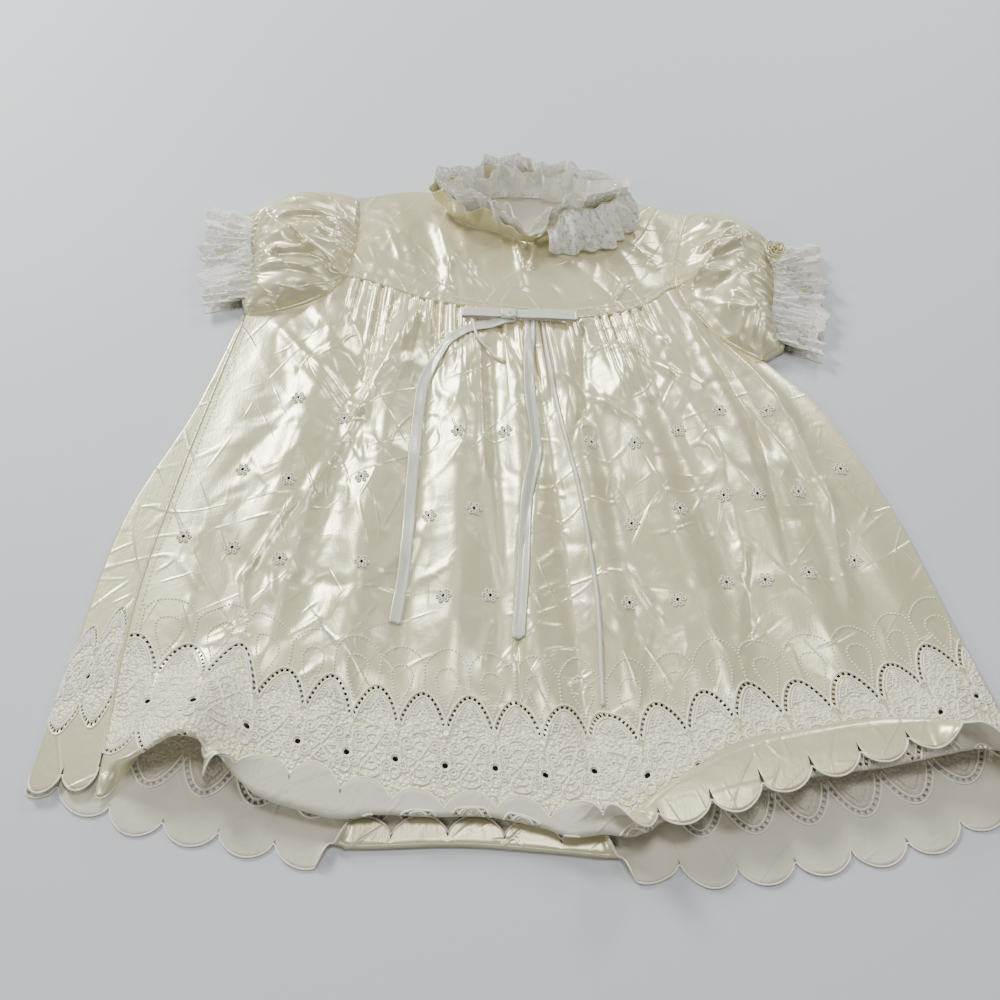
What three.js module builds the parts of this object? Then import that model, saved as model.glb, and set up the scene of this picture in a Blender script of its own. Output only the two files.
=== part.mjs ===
// A baby's christening gown, laid on its back on a flat surface.
// Ivory satin: a yoke with a neck frill, puffed sleeves with lace cuffs, and a long gathered
// skirt whose scalloped hem is partly turned up. Millimetres, +Z up, +Y towards the neck.
// The origin is under the middle of the gown. Left and right are as seen from the hem.
import * as THREE from 'three';

// Driving sizes
const CLOTH = 1.2;          // wall of a satin piece
const LACE = 1.0;           // wall of a lace frill
const SEAM = 0.3;           // space between two pieces at a seam
const SCALLOPS = 18;        // on each panel's hem
const SCALLOP_DEPTH = 10;
const GATHERS = 27;         // along the yoke seam
const CENTRE = { x: 1.15, y: -9.7 };   // middle of the gown in the sizes below
const RIBBON_WIDTH = 6.4;
const RIBBON_WALL = 1.0;
const HEM_TURN_RADIUS = 1.5;
const WRAP_RADIUS = 1.6;    // where the back panel wraps round to the front

const COLOURS = {
  satin: 0xdcd7c2, lining: 0xcfccc0, lace: 0xe6e3d8, ribbon: 0xdfe3df,
};

// Number helpers
const clamp = (v, low = 0, high = 1) => Math.min(high, Math.max(low, v));
const mix = (a, b, t) => a + (b - a) * t;
const ease = (t) => { const c = clamp(t); return c * c * (3 - 2 * c); };
const bell = (d, width) => Math.exp(-((d / width) ** 2));

// A smooth curve through one column of a table, read at position t of its first column.
function readTable(table, key, by, t) {
  const last = table.length - 1;
  if (t <= table[0][by]) return table[0][key];
  if (t >= table[last][by]) return table[last][key];
  let i = 0;
  while (table[i + 1][by] < t) i += 1;
  const slope = (k) => {
    const before = table[Math.max(0, k - 1)];
    const after = table[Math.min(last, k + 1)];
    return (after[key] - before[key]) / (after[by] - before[by]);
  };
  const a = table[i];
  const b = table[i + 1];
  const span = b[by] - a[by];
  const s = (t - a[by]) / span;
  const rise = b[key] - a[key];
  const m0 = slope(i) * span;
  const m1 = slope(i + 1) * span;
  return a[key] + s * (m0 + s * (3 * rise - 2 * m0 - m1 + s * (m0 + m1 - 2 * rise)));
}

// Walls. A sheet is a list of rows, each { t: [positions], right: [points], wrong: [points] },
// where right and wrong are the two faces of the cloth. Rows may have different counts.
function stitch(faces, a, b, ta, tb) {
  let i = 0;
  let j = 0;
  while (i < a.length - 1 || j < b.length - 1) {
    const stepA = j === b.length - 1 || (i < a.length - 1 && ta[i + 1] <= tb[j + 1]);
    if (stepA) {
      faces.push(a[i], b[j], a[i + 1]);
      i += 1;
    } else {
      faces.push(a[i], b[j], b[j + 1]);
      j += 1;
    }
  }
}

function wallGeometry(rows, ring = false) {
  const points = [];
  const faces = [];
  const addRow = (row, side) => row[side].map((p) => points.push(p.x, p.y, p.z) / 3 - 1);
  const loops = rows.map((row) => ({ t: row.t, ids: addRow(row, 'right') }));
  const wrong = rows.map((row) => ({ t: row.t, ids: addRow(row, 'wrong') }));
  const around = [...loops, ...wrong.slice().reverse()];
  around.forEach((row, k) => {
    const next = around[(k + 1) % around.length];
    if (ring) {
      stitch(faces, [...row.ids, row.ids[0]], [...next.ids, next.ids[0]],
        [...row.t, 1], [...next.t, 1]);
    } else {
      stitch(faces, row.ids, next.ids, row.t, next.t);
    }
  });
  if (!ring) {
    for (let k = 0; k < rows.length - 1; k += 1) {
      const [a, b] = [loops[k].ids, loops[k + 1].ids];
      const [c, d] = [wrong[k].ids, wrong[k + 1].ids];
      faces.push(b[0], a[0], c[0], b[0], c[0], d[0]);
      const end = (ids) => ids[ids.length - 1];
      faces.push(end(a), end(b), end(d), end(a), end(d), end(c));
    }
  }
  const geometry = new THREE.BufferGeometry();
  geometry.setAttribute('position', new THREE.Float32BufferAttribute(points, 3));
  geometry.setIndex(faces);
  if (signedVolume(points, faces) < 0) {
    for (let f = 0; f < faces.length; f += 3) [faces[f], faces[f + 1]] = [faces[f + 1], faces[f]];
    geometry.setIndex(faces);
  }
  geometry.computeVertexNormals();
  return geometry;
}

function signedVolume(points, faces) {
  const at = (k) => new THREE.Vector3(points[3 * k], points[3 * k + 1], points[3 * k + 2]);
  let volume = 0;
  for (let f = 0; f < faces.length; f += 3) {
    volume += at(faces[f]).dot(at(faces[f + 1]).cross(at(faces[f + 2]))) / 6;
  }
  return volume;
}

const evenly = (count) => Array.from({ length: count }, (_, k) => k / (count - 1));
const vec = (x, y, z) => new THREE.Vector3(x, y, z);

// Upper edge shared by the front and back skirts: left armhole, yoke seam, right armhole.
const SKIRT_TOP = [
  { u: 0.000, x: -155, y: 95 },
  { u: 0.045, x: -131, y: 100 },
  { u: 0.080, x: -112, y: 111 },
  { u: 0.110, x: -102, y: 124 },
  { u: 0.300, x: -56, y: 107 },
  { u: 0.500, x: -8, y: 96 },
  { u: 0.650, x: 28, y: 92 },
  { u: 0.800, x: 64, y: 100 },
  { u: 0.890, x: 86, y: 115 },
  { u: 0.925, x: 92, y: 100 },
  { u: 0.962, x: 108, y: 77 },
  { u: 1.000, x: 130, y: 62 },
];
const YOKE_FROM = 0.110;    // u where the yoke seam starts and ends
const YOKE_TO = 0.890;

// The side seam on the left, inside the outline, where the front panel starts.
const LEFT_SEAM = [
  { v: 0.00, x: -155, y: 95 },
  { v: 0.20, x: -165, y: 43 },
  { v: 0.45, x: -177, y: -24 },
  { v: 0.70, x: -186, y: -92 },
  { v: 1.00, x: -187, y: -168 },
];
// The outline of the back panel on the left, and of both panels on the right.
const LEFT_OUTLINE = [
  { v: 0.00, x: -158, y: 95 },
  { v: 0.20, x: -175, y: 28 },
  { v: 0.45, x: -200, y: -40 },
  { v: 0.70, x: -210, y: -110 },
  { v: 1.00, x: -217, y: -170 },
];
const RIGHT_OUTLINE = [
  { v: 0.00, x: 130, y: 62 },
  { v: 0.20, x: 157, y: 26 },
  { v: 0.45, x: 182, y: -38 },
  { v: 0.70, x: 199, y: -104 },
  { v: 1.00, x: 216, y: -166 },
];

const SEAM_WIDTH = 230;       // of the front skirt along its upper edge
const HEM_WIDTH = 403;        // and along its hem
const SKIRT_LENGTH = 300;

// The front hem's lower fold, from the left seam to the right corner. turn is how far the
// hem band turns there (180 lies back over the skirt, -180 goes under), flap how long it then
// runs, and turn2 and tail are the second fold, which brings the scallops down again. Where
// tail is below 0 the notches between the scallops reach back into the flap.
const FRONT_HEM = [
  { x: -187, y: -168, z: 3.9, turn: 0, flap: 3, turn2: 0, tail: 3 },
  { x: -181, y: -171, z: 9, turn: -35, flap: 3, turn2: 0, tail: 2 },
  { x: -173, y: -171, z: 14.5, turn: -120, flap: 5, turn2: 0, tail: 2 },
  { x: -163, y: -167, z: 19, turn: -170, flap: 12, turn2: 0, tail: 2 },
  { x: -154, y: -163, z: 22, turn: -170, flap: 17, turn2: 0, tail: 2 },
  { x: -145, y: -163, z: 21, turn: -130, flap: 12, turn2: 0, tail: 2 },
  { x: -137, y: -166, z: 16, turn: 10, flap: 4, turn2: 0, tail: -2 },
  { x: -128, y: -176, z: 12, turn: 150, flap: 2, turn2: 0, tail: -2 },
  { x: -117, y: -185, z: 9, turn: 180, flap: 4, turn2: 0, tail: 0 },
  { x: -99, y: -191, z: 7, turn: 180, flap: 7, turn2: 0, tail: 2 },
  { x: -81, y: -195, z: 6.5, turn: 180, flap: 5, turn2: 0, tail: 2 },
  { x: -66, y: -193, z: 6.5, turn: 180, flap: 3, turn2: 0, tail: -1 },
  { x: -42, y: -194, z: 6.5, turn: 180, flap: 2, turn2: 0, tail: -4 },
  { x: -19, y: -194, z: 6.5, turn: 180, flap: 2, turn2: 0, tail: -4 },
  { x: 5, y: -199, z: 6.5, turn: 180, flap: 2, turn2: 0, tail: -3 },
  { x: 16, y: -203, z: 7, turn: 180, flap: 3, turn2: 0, tail: -2 },
  { x: 30, y: -202, z: 7.5, turn: 180, flap: 4, turn2: 50, tail: 0 },
  { x: 42, y: -203, z: 8, turn: 180, flap: 6, turn2: 130, tail: 2 },
  { x: 54, y: -197, z: 9, turn: 180, flap: 9, turn2: 180, tail: 6 },
  { x: 68, y: -191, z: 9, turn: 180, flap: 13, turn2: 180, tail: 12 },
  { x: 85, y: -187, z: 9, turn: 180, flap: 20, turn2: 180, tail: 19 },
  { x: 105, y: -181, z: 9, turn: 180, flap: 21, turn2: 180, tail: 18 },
  { x: 121, y: -177, z: 9, turn: 180, flap: 20, turn2: 180, tail: 16 },
  { x: 152, y: -173, z: 9.5, turn: 180, flap: 20, turn2: 180, tail: 11 },
  { x: 176, y: -168, z: 10, turn: 180, flap: 15, turn2: 175, tail: 5 },
  { x: 192, y: -165, z: 10, turn: 150, flap: 9, turn2: 80, tail: 3 },
  { x: 206, y: -165, z: 7, turn: 60, flap: 5, turn2: 0, tail: 2 },
  { x: 216, y: -166, z: 2.8, turn: 0, flap: 2, turn2: 0, tail: -1 },
].map((row) => ({ ...row, u: (row.x + 187) / HEM_WIDTH }));

// The main folds of the front skirt: ridges (height up) and valleys (height down), in the
// share of the panel's width at the yoke and at the hem, and where they start and stop.
const FOLDS = [
  { top: 0.13, hem: 0.10, width: 9, height: 2.6, from: 0.05, to: 0.70 },
  { top: 0.20, hem: 0.17, width: 8, height: -1.8, from: 0.02, to: 0.80 },
  { top: 0.26, hem: 0.23, width: 9, height: 2.9, from: 0.00, to: 0.95 },
  { top: 0.33, hem: 0.31, width: 8, height: -2.1, from: 0.02, to: 0.90 },
  { top: 0.40, hem: 0.37, width: 9, height: 2.6, from: 0.05, to: 0.85 },
  { top: 0.46, hem: 0.43, width: 7, height: -1.7, from: 0.00, to: 0.90 },
  { top: 0.50, hem: 0.48, width: 8, height: 2.6, from: 0.04, to: 0.90 },
  { top: 0.55, hem: 0.535, width: 5, height: -2.3, from: 0.00, to: 1.00 },
  { top: 0.60, hem: 0.59, width: 7, height: 2.3, from: 0.00, to: 0.90 },
  { top: 0.64, hem: 0.63, width: 7, height: -2.0, from: 0.02, to: 0.60 },
  { top: 0.71, hem: 0.71, width: 9, height: 2.9, from: 0.03, to: 0.95 },
  { top: 0.77, hem: 0.77, width: 8, height: -2.1, from: 0.02, to: 0.85 },
  { top: 0.84, hem: 0.85, width: 10, height: 2.9, from: 0.02, to: 0.90 },
  { top: 0.91, hem: 0.93, width: 9, height: -1.6, from: 0.10, to: 0.80 },
];
const SKIRT_REST = 5.4;       // middle of the front cloth over the back panel
const LEFT_EDGE_Z = CLOTH / 2 + 2 * WRAP_RADIUS;
const RIGHT_EDGE_Z = 2.4;
const GATHER_HEIGHT = 1.25;
const SEAM_Z = 4.6;           // middle of the cloth along the yoke seam
// Shares of the skirt's length over which its height changes, and of its width at the sides
const RISE = { seam: 0.15, hem: 0.22, corner: 0.1, foldStart: 0.12, foldEnd: 0.18 };
const GATHERED = { from: 0.03, run: 0.17 };
const SIDE_RISE = 0.05;
const SIDE_CALM = 1 / 14;

// A panel between a top edge, a hem line and two side edges. The sides' bulge fades out
// over the outer part of the panel.
const SIDE_SHARE = 0.25;
function panelPlan(u, v, hemTable, leftTable) {
  const leftShare = clamp(1 - u / SIDE_SHARE) ** 2;
  const rightShare = clamp(1 - (1 - u) / SIDE_SHARE) ** 2;
  const at = (key) => {
    const bulge = (table) => readTable(table, key, 'v', v) - mix(table[0][key], table.at(-1)[key], v);
    return mix(readTable(SKIRT_TOP, key, 'u', u), readTable(hemTable, key, 'u', u), v)
      + leftShare * bulge(leftTable) + rightShare * bulge(RIGHT_OUTLINE);
  };
  return { x: at('x'), y: at('y') };
}

// One point of the front skirt's middle surface. u runs left to right, v from top to fold.
const skirtPlan = (u, v) => panelPlan(u, v, FRONT_HEM, LEFT_SEAM);

function gatherWave(u) {
  const s = (u - YOKE_FROM) / (YOKE_TO - YOKE_FROM);
  if (s <= 0 || s >= 1) return 0;
  const drift = 0.22 * Math.sin(9 * s) + 0.15 * Math.sin(23 * s);
  return Math.sin(2 * Math.PI * (GATHERS * s + drift)) * ease(s * 12) * ease((1 - s) * 12);
}

function skirtHeight(u, v) {
  const hemZ = readTable(FRONT_HEM, 'z', 'u', u);
  let z = mix(SEAM_Z, SKIRT_REST, ease(v / RISE.seam));
  z += (hemZ - SKIRT_REST) * ease((v - 1 + RISE.hem) / RISE.hem) ** 1.3;
  const width = mix(SEAM_WIDTH, HEM_WIDTH, v);
  const calm = ease(u / SIDE_CALM) * ease((1 - u) / SIDE_CALM);
  let folds = 0;
  for (const fold of FOLDS) {
    const shown = ease((v - fold.from) / RISE.foldStart) * ease((fold.to - v) / RISE.foldEnd);
    folds += fold.height * shown * bell((u - mix(fold.top, fold.hem, v)) * width, fold.width);
  }
  const gathers = GATHER_HEIGHT * gatherWave(u) * (1 - ease((v - GATHERED.from) / GATHERED.run));
  z += (folds + gathers) * calm;
  const above = 1 - ease((v - 1 + RISE.corner) / RISE.corner);
  z = mix(z, LEFT_EDGE_Z, (1 - ease(u / SIDE_RISE)) * above);
  return mix(z, RIGHT_EDGE_Z, (1 - ease((1 - u) / SIDE_RISE)) * above);
}

function skirtPoint(u, v, lift = 0) {
  const { x, y } = skirtPlan(u, v);
  return vec(x, y, skirtHeight(u, v) + lift);
}

const SHORTEST_FLAP = 2;
const SHORTEST_TAIL = 0.5;
const SHORTEST_BEND = 1.2;

// A hem band that turns at a fold. base(u, d) gives the cloth d mm past the fold, or before it
// where d is negative. The band's path is worked out in its own plane: d along, h up.
function hemPath(row, radius, lobe) {
  const stations = [];
  let [d, h, heading] = [0, 0, 0];
  const put = () => stations.push({ d, h, heading });
  const bend = (angle) => {
    const steps = 2;
    const arc = Math.max(Math.abs(angle) * radius, SHORTEST_BEND) / steps;
    for (let k = 0; k < steps; k += 1) {
      heading += angle / steps / 2;
      d += arc * Math.cos(heading);
      h += arc * Math.sin(heading);
      heading += angle / steps / 2;
      put();
    }
  };
  const run = (length, steps) => {
    for (let k = 0; k < steps; k += 1) {
      d += (length / steps) * Math.cos(heading);
      h += (length / steps) * Math.sin(heading);
      put();
    }
  };
  const rad = Math.PI / 180;
  bend(row.turn * rad);
  run(row.flap, 2);
  bend(-row.turn2 * rad);
  run(Math.max(row.tail + lobe, SHORTEST_TAIL), 1);
  return stations;
}

const lobeShape = (s) => Math.sqrt(Math.abs(Math.sin(Math.PI * s)));

// Shares of a panel's width at its two ends and at each quarter of a scallop between them.
// phase is the share of a scallop that the left end cuts off.
function scallopShares(phase) {
  const room = 0.15;          // no quarter nearer to an end than this share of a scallop
  const shares = [0];
  for (let q = 0.25; q < SCALLOPS + phase - room; q += 0.25) {
    if (q > phase + room) shares.push((q - phase) / SCALLOPS);
  }
  return [...shares, 1];
}

const FRONT_PHASE = 0.32;
const HEM_SLOPE = 0.97;       // the hem's direction is taken between this share and the fold
function skirtHemRows(columns) {
  const base = (u, d) => {
    if (d <= 0) return skirtPoint(u, 1 + d / SKIRT_LENGTH);
    const a = skirtPoint(u, 1);
    const b = skirtPoint(u, HEM_SLOPE);
    const down = vec(a.x - b.x, a.y - b.y, 0).normalize();
    return a.addScaledVector(down, d);
  };
  const rows = [];
  columns.forEach((u, k) => {
    const row = {};
    for (const key of ['turn', 'flap', 'turn2', 'tail']) row[key] = readTable(FRONT_HEM, key, 'u', u);
    row.turn = clamp(row.turn, -180, 180);
    row.turn2 = clamp(row.turn2, 0, 180);
    row.flap = Math.max(row.flap, SHORTEST_FLAP);
    const upright = Math.abs(Math.sin((row.turn * Math.PI) / 180));
    const lobe = SCALLOP_DEPTH * lobeShape(u * SCALLOPS + FRONT_PHASE) * (1 - 0.7 * upright);
    hemPath(row, HEM_TURN_RADIUS, lobe).forEach((s, i) => {
      rows[i] ??= { t: columns, right: [], wrong: [] };
      const half = CLOTH / 2;
      const right = base(u, s.d - half * Math.sin(s.heading));
      right.z += s.h + half * Math.cos(s.heading);
      const wrong = base(u, s.d + half * Math.sin(s.heading));
      wrong.z += s.h - half * Math.cos(s.heading);
      rows[i].right[k] = right;
      rows[i].wrong[k] = wrong;
    });
  });
  return rows;
}

function frontSkirt() {
  const levels = [
    { v: 0.000, count: 96 }, { v: 0.030, count: 96 }, { v: 0.085, count: 96 },
    { v: 0.170, count: 61 }, { v: 0.300, count: 43 }, { v: 0.450, count: 43 },
    { v: 0.610, count: 43 }, { v: 0.770, count: 43 }, { v: 0.900, count: 73 },
    { v: 1.000, count: 73 },
  ];
  const rows = levels.map(({ v, count }) => {
    const t = evenly(count);
    return {
      t,
      right: t.map((u) => skirtPoint(u, v, CLOTH / 2)),
      wrong: t.map((u) => skirtPoint(u, v, -CLOTH / 2)),
    };
  });
  const hem = skirtHemRows(scallopShares(FRONT_PHASE));
  return wallGeometry([...rows, ...hem]);
}

const BACK_WIDTH = 433;       // of the back skirt along its hem

// The back panel's hem line, from the left outline to the right. turn 180 is where the middle
// of the hem is turned up over the inside.
const BACK_HEM = [
  { x: -217, y: -170, turn: 0 },
  { x: -197, y: -176, turn: 0 },
  { x: -173, y: -186, turn: 0 },
  { x: -149, y: -191, turn: 0 },
  { x: -123, y: -196, turn: 0 },
  { x: -98, y: -201, turn: 0 },
  { x: -90, y: -203, turn: 0 },
  { x: -84, y: -204, turn: 90 },
  { x: -78, y: -206, turn: 180 },
  { x: -30, y: -205, turn: 180 },
  { x: 10, y: -208, turn: 180 },
  { x: 30, y: -210, turn: 180 },
  { x: 36, y: -210, turn: 90 },
  { x: 42, y: -209, turn: 0 },
  { x: 54, y: -207, turn: 0 },
  { x: 75, y: -210, turn: 0 },
  { x: 100, y: -208, turn: 0 },
  { x: 123, y: -204, turn: 0 },
  { x: 149, y: -200, turn: 0 },
  { x: 171, y: -194, turn: 0 },
  { x: 195, y: -183, turn: 0 },
  { x: 216, y: -171, turn: 0 },
].map((row) => ({ ...row, u: (row.x + 217) / BACK_WIDTH }));
const BACK_TURN_RADIUS = 1.0;
const BACK_BAND = 2.5;        // from the hem line to the notches of the scallops
const BACK_PHASE = 0.47;      // share of a scallop that the left turn takes up
const STRIP_GAP = 0.8;        // between the wrapped strip and the front panel
const BACK_Z = CLOTH / 2;
const YOKE_SHARES = evenly(14);   // columns that the back yoke and back skirt share
const STRIP_STEPS = 5;        // columns of the strip, whose last one stops short of the turn
const STRIP_REACH = 0.9;
const STRIP_SCALLOPS = 2;
const TURN_AT = { start: 0.1, middle: 0.11, end: 0.12 };   // where the turn lies in the row

function backPlan(u, v) {
  const { x, y } = panelPlan(u, v, BACK_HEM, LEFT_OUTLINE);
  return vec(x, y, BACK_Z);
}

// The back panel's columns: the strip that lies on the front, the turn at the outline, and
// the layer on the table. Each gives its middle point at v and the way its right side faces.
function backColumns(shares) {
  const outline = (v) => vec(readTable(LEFT_OUTLINE, 'x', 'v', v),
    readTable(LEFT_OUTLINE, 'y', 'v', v), 0);
  const seam = (v) => vec(readTable(LEFT_SEAM, 'x', 'v', v) - STRIP_GAP,
    readTable(LEFT_SEAM, 'y', 'v', v), 0);
  const shoulder = WRAP_RADIUS * 1.2;
  const strip = evenly(STRIP_STEPS + 1).map((s) => ({
    t: s * STRIP_REACH * TURN_AT.start,
    lobe: STRIP_SCALLOPS * (1 - s * STRIP_REACH),
    face: vec(0, 0, 1),
    at: (v) => {
      const start = seam(v);
      const end = outline(v);
      end.x = Math.min(end.x + shoulder, start.x - CLOTH / 2);
      return start.lerp(end, s).setZ(LEFT_EDGE_Z);
    },
  }));
  const turn = {
    t: TURN_AT.middle,
    lobe: 0,
    face: vec(-1, 0, 0),
    at: (v) => outline(v).add(vec(CLOTH / 2, 0, CLOTH / 2 + WRAP_RADIUS)),
  };
  const bottom = shares.map((u, k) => ({
    t: mix(TURN_AT.end, 1, u),
    lobe: u * SCALLOPS + BACK_PHASE,
    face: vec(0, 0, -1),
    hem: u,
    at: (v) => {
      const point = backPlan(u, v);
      point.x += k === 0 ? shoulder : 0;
      return point;
    },
  }));
  return [...strip, turn, ...bottom];
}

function backSkirt() {
  const half = CLOTH / 2;
  const panelRow = (v, columns) => ({
    t: columns.map((c) => c.t),
    right: columns.map((c) => c.at(v).addScaledVector(c.face, half)),
    wrong: columns.map((c) => c.at(v).addScaledVector(c.face, -half)),
  });
  const underYoke = YOKE_SHARES.map((t) => mix(YOKE_FROM, YOKE_TO, t));
  const coarse = backColumns([0, 0.03, 0.06, 0.085, ...underYoke, 0.908, 0.926, 0.944, 0.962,
    0.981, 1]);
  const fine = backColumns(scallopShares(BACK_PHASE));
  const rows = [0, 0.12, 0.25, 0.45, 0.7].map((v) => panelRow(v, coarse));
  rows.push(panelRow(1, fine));
  const hem = [];
  fine.forEach((column, k) => {
    const turned = column.hem === undefined ? 0 : readTable(BACK_HEM, 'turn', 'u', column.hem);
    const upright = 1 - Math.abs(clamp(turned, 0, 180) - 90) / 90;
    const band = mix(BACK_BAND, 1, upright);
    const row = { turn: clamp(turned, 0, 180), flap: band, turn2: 0, tail: 0 };
    const lobe = SCALLOP_DEPTH * lobeShape(column.lobe) * (1 - upright);
    const kept = [0, 1, 3, 6];  // the bend's two stations, the band's end and the edge
    const steps = hemPath(row, BACK_TURN_RADIUS, lobe).filter((_, i) => kept.includes(i));
    const a = column.at(1);
    const down = a.clone().sub(column.at(0.95)).setZ(0).normalize();
    steps.forEach((s, i) => {
      hem[i] ??= { t: fine.map((c) => c.t), right: [], wrong: [] };
      const middle = a.clone().addScaledVector(down, s.d);
      middle.z += s.h;
      const face = column.face.clone();
      if (column.hem !== undefined) {
        face.copy(down).multiplyScalar(Math.sin(s.heading)).setZ(-Math.cos(s.heading));
      }
      hem[i].right[k] = middle.clone().addScaledVector(face, half);
      hem[i].wrong[k] = middle.clone().addScaledVector(face, -half);
    });
  });
  return wallGeometry([...rows, ...hem]);
}

// Yokes. Rows run from the skirt seam up to the neck and shoulders.
const FRONT_NECK = [
  { t: 0.00, x: -100, y: 192, z: 2.6 },
  { t: 0.22, x: -58, y: 197, z: 2.8 },
  { t: 0.30, x: -46, y: 180, z: 4.4 },
  { t: 0.40, x: -26, y: 164, z: 5.0 },
  { t: 0.50, x: -1, y: 158, z: 5.2 },
  { t: 0.60, x: 22, y: 162, z: 5.0 },
  { t: 0.70, x: 41, y: 174, z: 4.4 },
  { t: 0.78, x: 53, y: 189, z: 2.8 },
  { t: 1.00, x: 98, y: 177, z: 2.6 },
];
const BACK_NECK = [
  { t: 0.00, x: -100, y: 192 },
  { t: 0.22, x: -58, y: 198 },
  { t: 0.32, x: -38, y: 203 },
  { t: 0.50, x: -1, y: 204 },
  { t: 0.68, x: 36, y: 200 },
  { t: 0.78, x: 53, y: 190 },
  { t: 1.00, x: 98, y: 177 },
];
const YOKE_SIDE_BOW = [{ v: 0, x: 0 }, { v: 0.45, x: 1 }, { v: 1, x: 0 }];
const YOKE_GAP = 0.7;         // space up to the skirt, wide enough for the steep ends of the seam
const YOKE_BAND = 5;          // flat band stitched along the lower edge
const YOKE_HEIGHT = 75;       // of the yoke where the band's share is taken
const BAND_RAISE = 0.5;
const YOKE_SWELL = 0.8;       // rise of the yoke's middle
const YOKE_FOLDS = [
  { x0: -75, y0: 190, x1: -62, y1: 130, width: 7, height: 1.2 },
  { x0: -48, y0: 165, x1: -34, y1: 120, width: 6, height: 2.0 },
  { x0: -20, y0: 155, x1: -28, y1: 125, width: 6, height: -0.9 },
  { x0: -4, y0: 156, x1: -2, y1: 138, width: 4, height: 2.0 },
  { x0: 8, y0: 157, x1: 12, y1: 140, width: 4, height: 2.0 },
  { x0: 40, y0: 165, x1: 74, y1: 148, width: 6, height: 1.2 },
  { x0: 52, y0: 150, x1: 66, y1: 118, width: 7, height: 1.6 },
  { x0: 78, y0: 165, x1: 82, y1: 130, width: 6, height: -0.8 },
];

// Height of a soft ridge that runs from one point to another.
function ridge(x, y, fold) {
  const [dx, dy] = [fold.x1 - fold.x0, fold.y1 - fold.y0];
  const length = Math.hypot(dx, dy);
  const s = ((x - fold.x0) * dx + (y - fold.y0) * dy) / length;
  const off = ((x - fold.x0) * dy - (y - fold.y0) * dx) / length;
  const past = Math.max(0, -s, s - length);
  return fold.height * bell(off, fold.width) * bell(past, fold.width * 1.4);
}

function yokePlan(table, t, v) {
  const u = mix(YOKE_FROM, YOKE_TO, t);
  const low = { x: readTable(SKIRT_TOP, 'x', 'u', u), y: readTable(SKIRT_TOP, 'y', 'u', u) };
  const side = readTable(YOKE_SIDE_BOW, 'x', 'v', v) * (1 - 2 * t) * 2;
  return {
    x: mix(low.x, readTable(table, 'x', 't', t), v) + side,
    y: mix(low.y + YOKE_GAP, readTable(table, 'y', 't', t), v),
  };
}

function frontYokeHeight(t, v, x, y) {
  const top = readTable(FRONT_NECK, 'z', 't', t);
  const edge = ease(t * 10) * ease((1 - t) * 10);
  const inner = ease(v * 5) * ease((1 - v) * 4);
  let z = mix(SEAM_Z, top, v) + YOKE_SWELL * inner * edge;
  for (const fold of YOKE_FOLDS) z += ridge(x, y, fold) * edge * inner;
  return z;
}

function frontYoke() {
  const bandShare = YOKE_BAND / YOKE_HEIGHT;
  const levels = [0, bandShare, bandShare * 1.3, 0.2, 0.36, 0.52, 0.68, 0.84, 1];
  const t = evenly(29);
  const rows = levels.map((v, i) => {
    const lift = i < 2 ? BAND_RAISE : 0;
    const points = (offset) => t.map((s) => {
      const { x, y } = yokePlan(FRONT_NECK, s, v);
      return vec(x, y, frontYokeHeight(s, v, x, y) + offset);
    });
    return { t, right: points(CLOTH / 2 + lift), wrong: points(-CLOTH / 2) };
  });
  return wallGeometry(rows);
}

function backYoke() {
  const t = YOKE_SHARES;
  const rows = [0, 0.5, 1].map((v) => {
    const points = (z) => t.map((s) => {
      const { x, y } = yokePlan(BACK_NECK, s, v);
      return vec(x, y, z);
    });
    return { t, right: points(0), wrong: points(CLOTH) };
  });
  return wallGeometry(rows);
}

// Sleeves. w runs from the underarm (0) to the shoulder (1), b from armhole (0) to cuff (1).
const SLEEVES = {
  left: {
    end: 0,
    cuff: [
      { w: 0.00, x: -158, y: 103 }, { w: 0.35, x: -163, y: 124 },
      { w: 0.70, x: -167, y: 150 }, { w: 1.00, x: -166, y: 174 },
    ],
    topBulge: 12,
    lowBulge: -1,
    fan: [{ w: 0, x: -0.75, y: -0.15 }, { w: 0.5, x: -1, y: 0 }, { w: 1, x: -0.9, y: 0.5 }],
    folds: [
      { x0: -106, y0: 178, x1: -140, y1: 184, width: 6, height: 2.4 },
      { x0: -104, y0: 160, x1: -150, y1: 168, width: 6, height: 2.6 },
      { x0: -106, y0: 140, x1: -150, y1: 146, width: 6, height: 2.4 },
      { x0: -120, y0: 120, x1: -156, y1: 122, width: 5, height: 2.0 },
    ],
  },
  right: {
    end: 1,
    cuff: [
      { w: 0.00, x: 141, y: 70 }, { w: 0.35, x: 146, y: 92 },
      { w: 0.70, x: 150, y: 122 }, { w: 1.00, x: 149, y: 145 },
    ],
    topBulge: 14,
    lowBulge: 0,
    fan: [{ w: 0, x: 0.8, y: -0.35 }, { w: 0.5, x: 1, y: 0 }, { w: 1, x: 0.9, y: 0.4 }],
    folds: [
      { x0: 104, y0: 160, x1: 132, y1: 152, width: 6, height: 2.4 },
      { x0: 98, y0: 140, x1: 140, y1: 128, width: 6, height: 2.8 },
      { x0: 96, y0: 118, x1: 138, y1: 108, width: 6, height: 2.4 },
      { x0: 108, y0: 92, x1: 138, y1: 86, width: 5, height: 2.0 },
    ],
  },
};
const PUFF = [
  { b: 0.00, h: 1.2 }, { b: 0.12, h: 7 }, { b: 0.35, h: 13 }, { b: 0.60, h: 14 },
  { b: 0.82, h: 9 }, { b: 1.00, h: 4.5 },
];
const ARM_CORNER = 0.45;      // w of the yoke's lower corner on the armhole
const ARM_GAP = 1.1;
const SLEEVE_EDGE_Z = 3.8;
const ARMHOLE_GATHERS = 9;
const CUFF_GATHERS = 9;
const SLEEVE_GATHER_HEIGHT = 1.0;
const SLEEVE_STATIONS = [0, 0.07, 0.22, 0.42, 0.64, 0.84, 1];
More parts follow.
